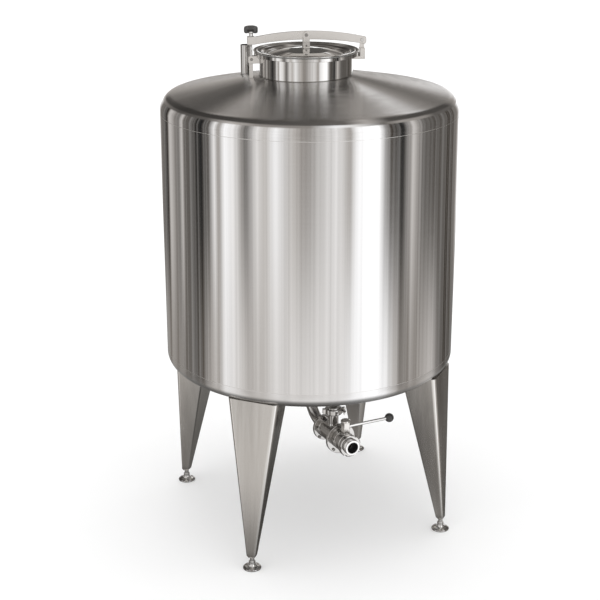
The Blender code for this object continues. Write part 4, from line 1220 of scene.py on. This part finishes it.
def streaked(tree, vector, light, streaks):
    """The light with upright streaks of each scale and depth, and never below a least light.

    Each adds (noise(scale (x, y) / |(x, y)|) - 0.5) depth.
    """
    level = vector_maths(tree, "NORMALIZE", vector_maths(tree, "MULTIPLY", vector, (1, 1, 0)))
    for scale, depth in streaks:
        grey = noise(tree, level, scale=scale, detail=7.0, roughness=0.7)
        step = add_node(tree, "MapRange", grey, clamp=False, to_min=-depth / 2, to_max=depth / 2)
        light = vector_maths(tree, "ADD", light, step.outputs["Result"])
        light = vector_maths(tree, "MAXIMUM", light, (LEAST_LIGHT,) * 3)
    return light


def mixed(tree, share, first, second):
    """Two colours mixed by a share."""
    return add_node(tree, "Mix", data_type="RGBA", factor=share, a=first, b=second).outputs["Result"]


def blended(tree, value, span, first, second):
    """Two colours mixed by a smooth step of the value across a span."""
    return mixed(tree, smooth_step(tree, value, *span), first, second)


def mirrored_light(tree):
    """The studio's screens, as polished steel mirrors them.

    A direction d shows on steel whose surface faces h = (d + c) / |d + c|, c towards the camera. So
    h picks the screens: those for walls where h is level, for the bend, then for the cone as it rises.
    """
    rise, azimuth = math.radians(CAMERA_RISE), math.radians(CAMERA_AZIMUTH)
    front = np.array((math.cos(azimuth), math.sin(azimuth), 0))
    towards = math.cos(rise) * front + (0, 0, math.sin(rise))
    direction = add_node(tree, "TexCoord").outputs["Generated"]
    facing = vector_maths(tree, "NORMALIZE", vector_maths(tree, "ADD", direction, towards))
    lean = add_node(tree, "SeparateXYZ", facing).outputs["Z"]
    height = add_node(tree, "SeparateXYZ", direction).outputs["Z"]
    level = twice_round(tree, facing)
    upper, lower = (round_light(tree, level, stops) for stops in (SCREENS, LOW_SCREENS))
    walls = streaked(tree, level, blended(tree, height, LOW_SPAN, lower, upper), WALL_STREAKS)
    edge, cone, rim = (round_light(tree, facing, stops) for stops in (EDGE_LIGHTS, CONE_LIGHTS, RIM_LIGHTS))
    cone = streaked(tree, facing, cone, CONE_STREAKS)
    forward = vector_maths(tree, "DOT_PRODUCT", facing, front, result="Value")
    ceiling = blended(tree, forward, FRONT_SPAN, BRIGHT_CEILING, DARK_CEILING)
    light = mixed(tree, GROUND_SHARE, walls, GROUND_COLOUR)
    for span, above in zip(LEAN_SPANS, (walls, rim, edge, cone, ceiling)):
        light = blended(tree, lean, span, light, above)
    return light


def make_world():
    """Soft white light all round, and studio screens in what polished steel mirrors."""
    world = bpy.data.worlds.new("studio")
    bpy.context.scene.world = world
    world.use_nodes = True
    world.cycles.sampling_method = "NONE"
    tree = world.node_tree
    tree.nodes.clear()
    mirrored = add_node(tree, "Background", color=mirrored_light(tree), strength=SCREEN_STRENGTH)
    soft = add_node(tree, "Background", color=(1, 1, 1, 1), strength=SOFT_STRENGTH)
    glossy = add_node(tree, "LightPath").outputs["Is Glossy Ray"]
    choose = add_node(tree, "MixShader", glossy, soft.outputs[0], mirrored.outputs[0])
    add_node(tree, "OutputWorld", surface=choose.outputs[0])


def make_camera():
    """The photograph's viewing angle."""
    data = bpy.data.cameras.new("photo_camera")
    data.sensor_fit = "HORIZONTAL"
    data.sensor_width = CAMERA_SENSOR
    data.lens = CAMERA_LENS
    data.clip_end = 200
    camera = bpy.data.objects.new("photo_camera", data)
    camera.location = CAMERA_PLACE
    camera.rotation_euler = [math.radians(degrees) for degrees in CAMERA_TURN]
    bpy.context.scene.collection.objects.link(camera)
    bpy.context.scene.camera = camera


# Panel


class TankSizes(bpy.types.PropertyGroup):
    """Sizes of the trim that the solids leave out."""

    seam_width: bpy.props.FloatProperty(
        name="Seam width", description="Width of the weld beads round the body", default=0.003, unit="LENGTH"
    )
    seam_height: bpy.props.FloatProperty(
        name="Seam height", description="How far those beads stand out", default=0.00025, unit="LENGTH"
    )


class TankColours(bpy.types.PropertyGroup):
    """Colours of the finishes."""

    satin: bpy.props.FloatVectorProperty(
        name="Satin steel", description="Brushed sheet", subtype="COLOR", default=(0.70, 0.695, 0.69)
    )
    polished: bpy.props.FloatVectorProperty(
        name="Polished steel", description="Turned fittings", subtype="COLOR", default=(0.78, 0.775, 0.765)
    )
    # Polished steel darkened as painted shade for the neck, lid and vent
    neck: bpy.props.FloatVectorProperty(
        name="Neck steel", description="Neck, lid and vent", subtype="COLOR", default=(0.62, 0.61, 0.595)
    )
    plate: bpy.props.FloatVectorProperty(
        name="Plate steel", description="Arm and brackets", subtype="COLOR", default=(0.74, 0.72, 0.69)
    )
    leg: bpy.props.FloatVectorProperty(
        name="Leg steel", description="Folded sheet of the legs", subtype="COLOR", default=(0.68, 0.665, 0.64)
    )
    # Polished steel darkened as painted shade for the pipe and valve under the tank
    outlet: bpy.props.FloatVectorProperty(
        name="Outlet steel", description="Pipe and valve", subtype="COLOR", default=(0.56, 0.55, 0.535)
    )
    # Dark steel of pins and screws, and of the neck and vent weld lines, which are partly painted shade
    pin: bpy.props.FloatVectorProperty(
        name="Pin steel", description="Pins, screws, fine welds", subtype="COLOR", default=(0.30, 0.29, 0.275)
    )
    weld: bpy.props.FloatVectorProperty(
        name="Weld", description="Weld beads", subtype="COLOR", default=(0.72, 0.71, 0.69)
    )
    knob: bpy.props.FloatVectorProperty(
        name="Knobs", description="Black plastic", subtype="COLOR", default=(0.06, 0.058, 0.056)
    )
    rubber: bpy.props.FloatVectorProperty(
        name="Rubber", description="The manway's seal", subtype="COLOR", default=(0.30, 0.30, 0.29)
    )


class TANK_OT_vessel(bpy.types.Operator):
    """Build the shell and the two heads"""

    bl_idname = "tank.vessel"
    bl_label = "Vessel"

    def execute(self, context):
        make_vessel()
        return {"FINISHED"}


class TANK_OT_seams(bpy.types.Operator):
    """Lay the weld beads"""

    bl_idname = "tank.seams"
    bl_label = "Seams"

    def execute(self, context):
        make_seams()
        return {"FINISHED"}


class TANK_OT_vent(bpy.types.Operator):
    """Build the vent stub"""

    bl_idname = "tank.vent"
    bl_label = "Vent"

    def execute(self, context):
        make_vent()
        return {"FINISHED"}


class TANK_OT_manway(bpy.types.Operator):
    """Build the neck, its seal and its brackets"""

    bl_idname = "tank.manway"
    bl_label = "Manway"

    def execute(self, context):
        make_neck()
        make_hinge()
        make_bolt_bracket()
        return {"FINISHED"}


class TANK_OT_lid(bpy.types.Operator):
    """Build the lid, its link and the arm"""

    bl_idname = "tank.lid"
    bl_label = "Lid and arm"

    def execute(self, context):
        make_lid()
        make_link()
        make_arm()
        return {"FINISHED"}


class TANK_OT_closure(bpy.types.Operator):
    """Build the swing bolt and its knob"""

    bl_idname = "tank.closure"
    bl_label = "Swing bolt"

    def execute(self, context):
        make_swing_bolt()
        make_knob()
        return {"FINISHED"}


class TANK_OT_legs(bpy.types.Operator):
    """Build the legs and their feet"""

    bl_idname = "tank.legs"
    bl_label = "Legs"

    def execute(self, context):
        make_legs()
        make_feet()
        return {"FINISHED"}


class TANK_OT_pipe(bpy.types.Operator):
    """Build the outlet pipe, its flanges and the capped port"""

    bl_idname = "tank.pipe"
    bl_label = "Outlet pipe"

    def execute(self, context):
        make_elbow()
        make_flanges()
        make_inlet()
        make_port_cap()
        return {"FINISHED"}


class TANK_OT_valve(bpy.types.Operator):
    """Build the valve and its lever"""

    bl_idname = "tank.valve"
    bl_label = "Valve"

    def execute(self, context):
        make_valve()
        make_outlet_end()
        make_lever()
        return {"FINISHED"}


class TANK_OT_stage(bpy.types.Operator):
    """Set the floor, the light and the camera"""

    bl_idname = "tank.stage"
    bl_label = "Stage"

    def execute(self, context):
        make_floor()
        make_world()
        make_camera()
        return {"FINISHED"}


OPERATORS = (
    TANK_OT_vessel,
    TANK_OT_seams,
    TANK_OT_vent,
    TANK_OT_manway,
    TANK_OT_lid,
    TANK_OT_closure,
    TANK_OT_legs,
    TANK_OT_pipe,
    TANK_OT_valve,
    TANK_OT_stage,
)


class TANK_PT_panel(bpy.types.Panel):
    """Lists the pieces and their settings."""

    bl_idname = "TANK_PT_panel"
    bl_label = "Storage tank"
    bl_space_type = "VIEW_3D"
    bl_region_type = "UI"
    bl_category = "Tank"

    def draw(self, context):
        column = self.layout.column()
        for group in (context.scene.tank_sizes, context.scene.tank_colours):
            for name in group.__annotations__:
                column.prop(group, name)
        for operator in OPERATORS:
            column.operator(operator.bl_idname)


CLASSES = (TankSizes, TankColours, *OPERATORS, TANK_PT_panel)


def register():
    """Adds the classes and the scene's settings."""
    for cls in CLASSES:
        bpy.utils.register_class(cls)
    bpy.types.Scene.tank_sizes = bpy.props.PointerProperty(type=TankSizes)
    bpy.types.Scene.tank_colours = bpy.props.PointerProperty(type=TankColours)


def unregister():
    """Takes them away again."""
    del bpy.types.Scene.tank_colours
    del bpy.types.Scene.tank_sizes
    for cls in reversed(CLASSES):
        bpy.utils.unregister_class(cls)


def main():
    """Builds everything."""
    register()
    for operator in OPERATORS:
        group, name = operator.bl_idname.split(".")
        getattr(getattr(bpy.ops, group), name)()
    bpy.context.scene.view_settings.view_transform = "Standard"
    bpy.context.view_layer.update()


if __name__ == "__main__":
    main()
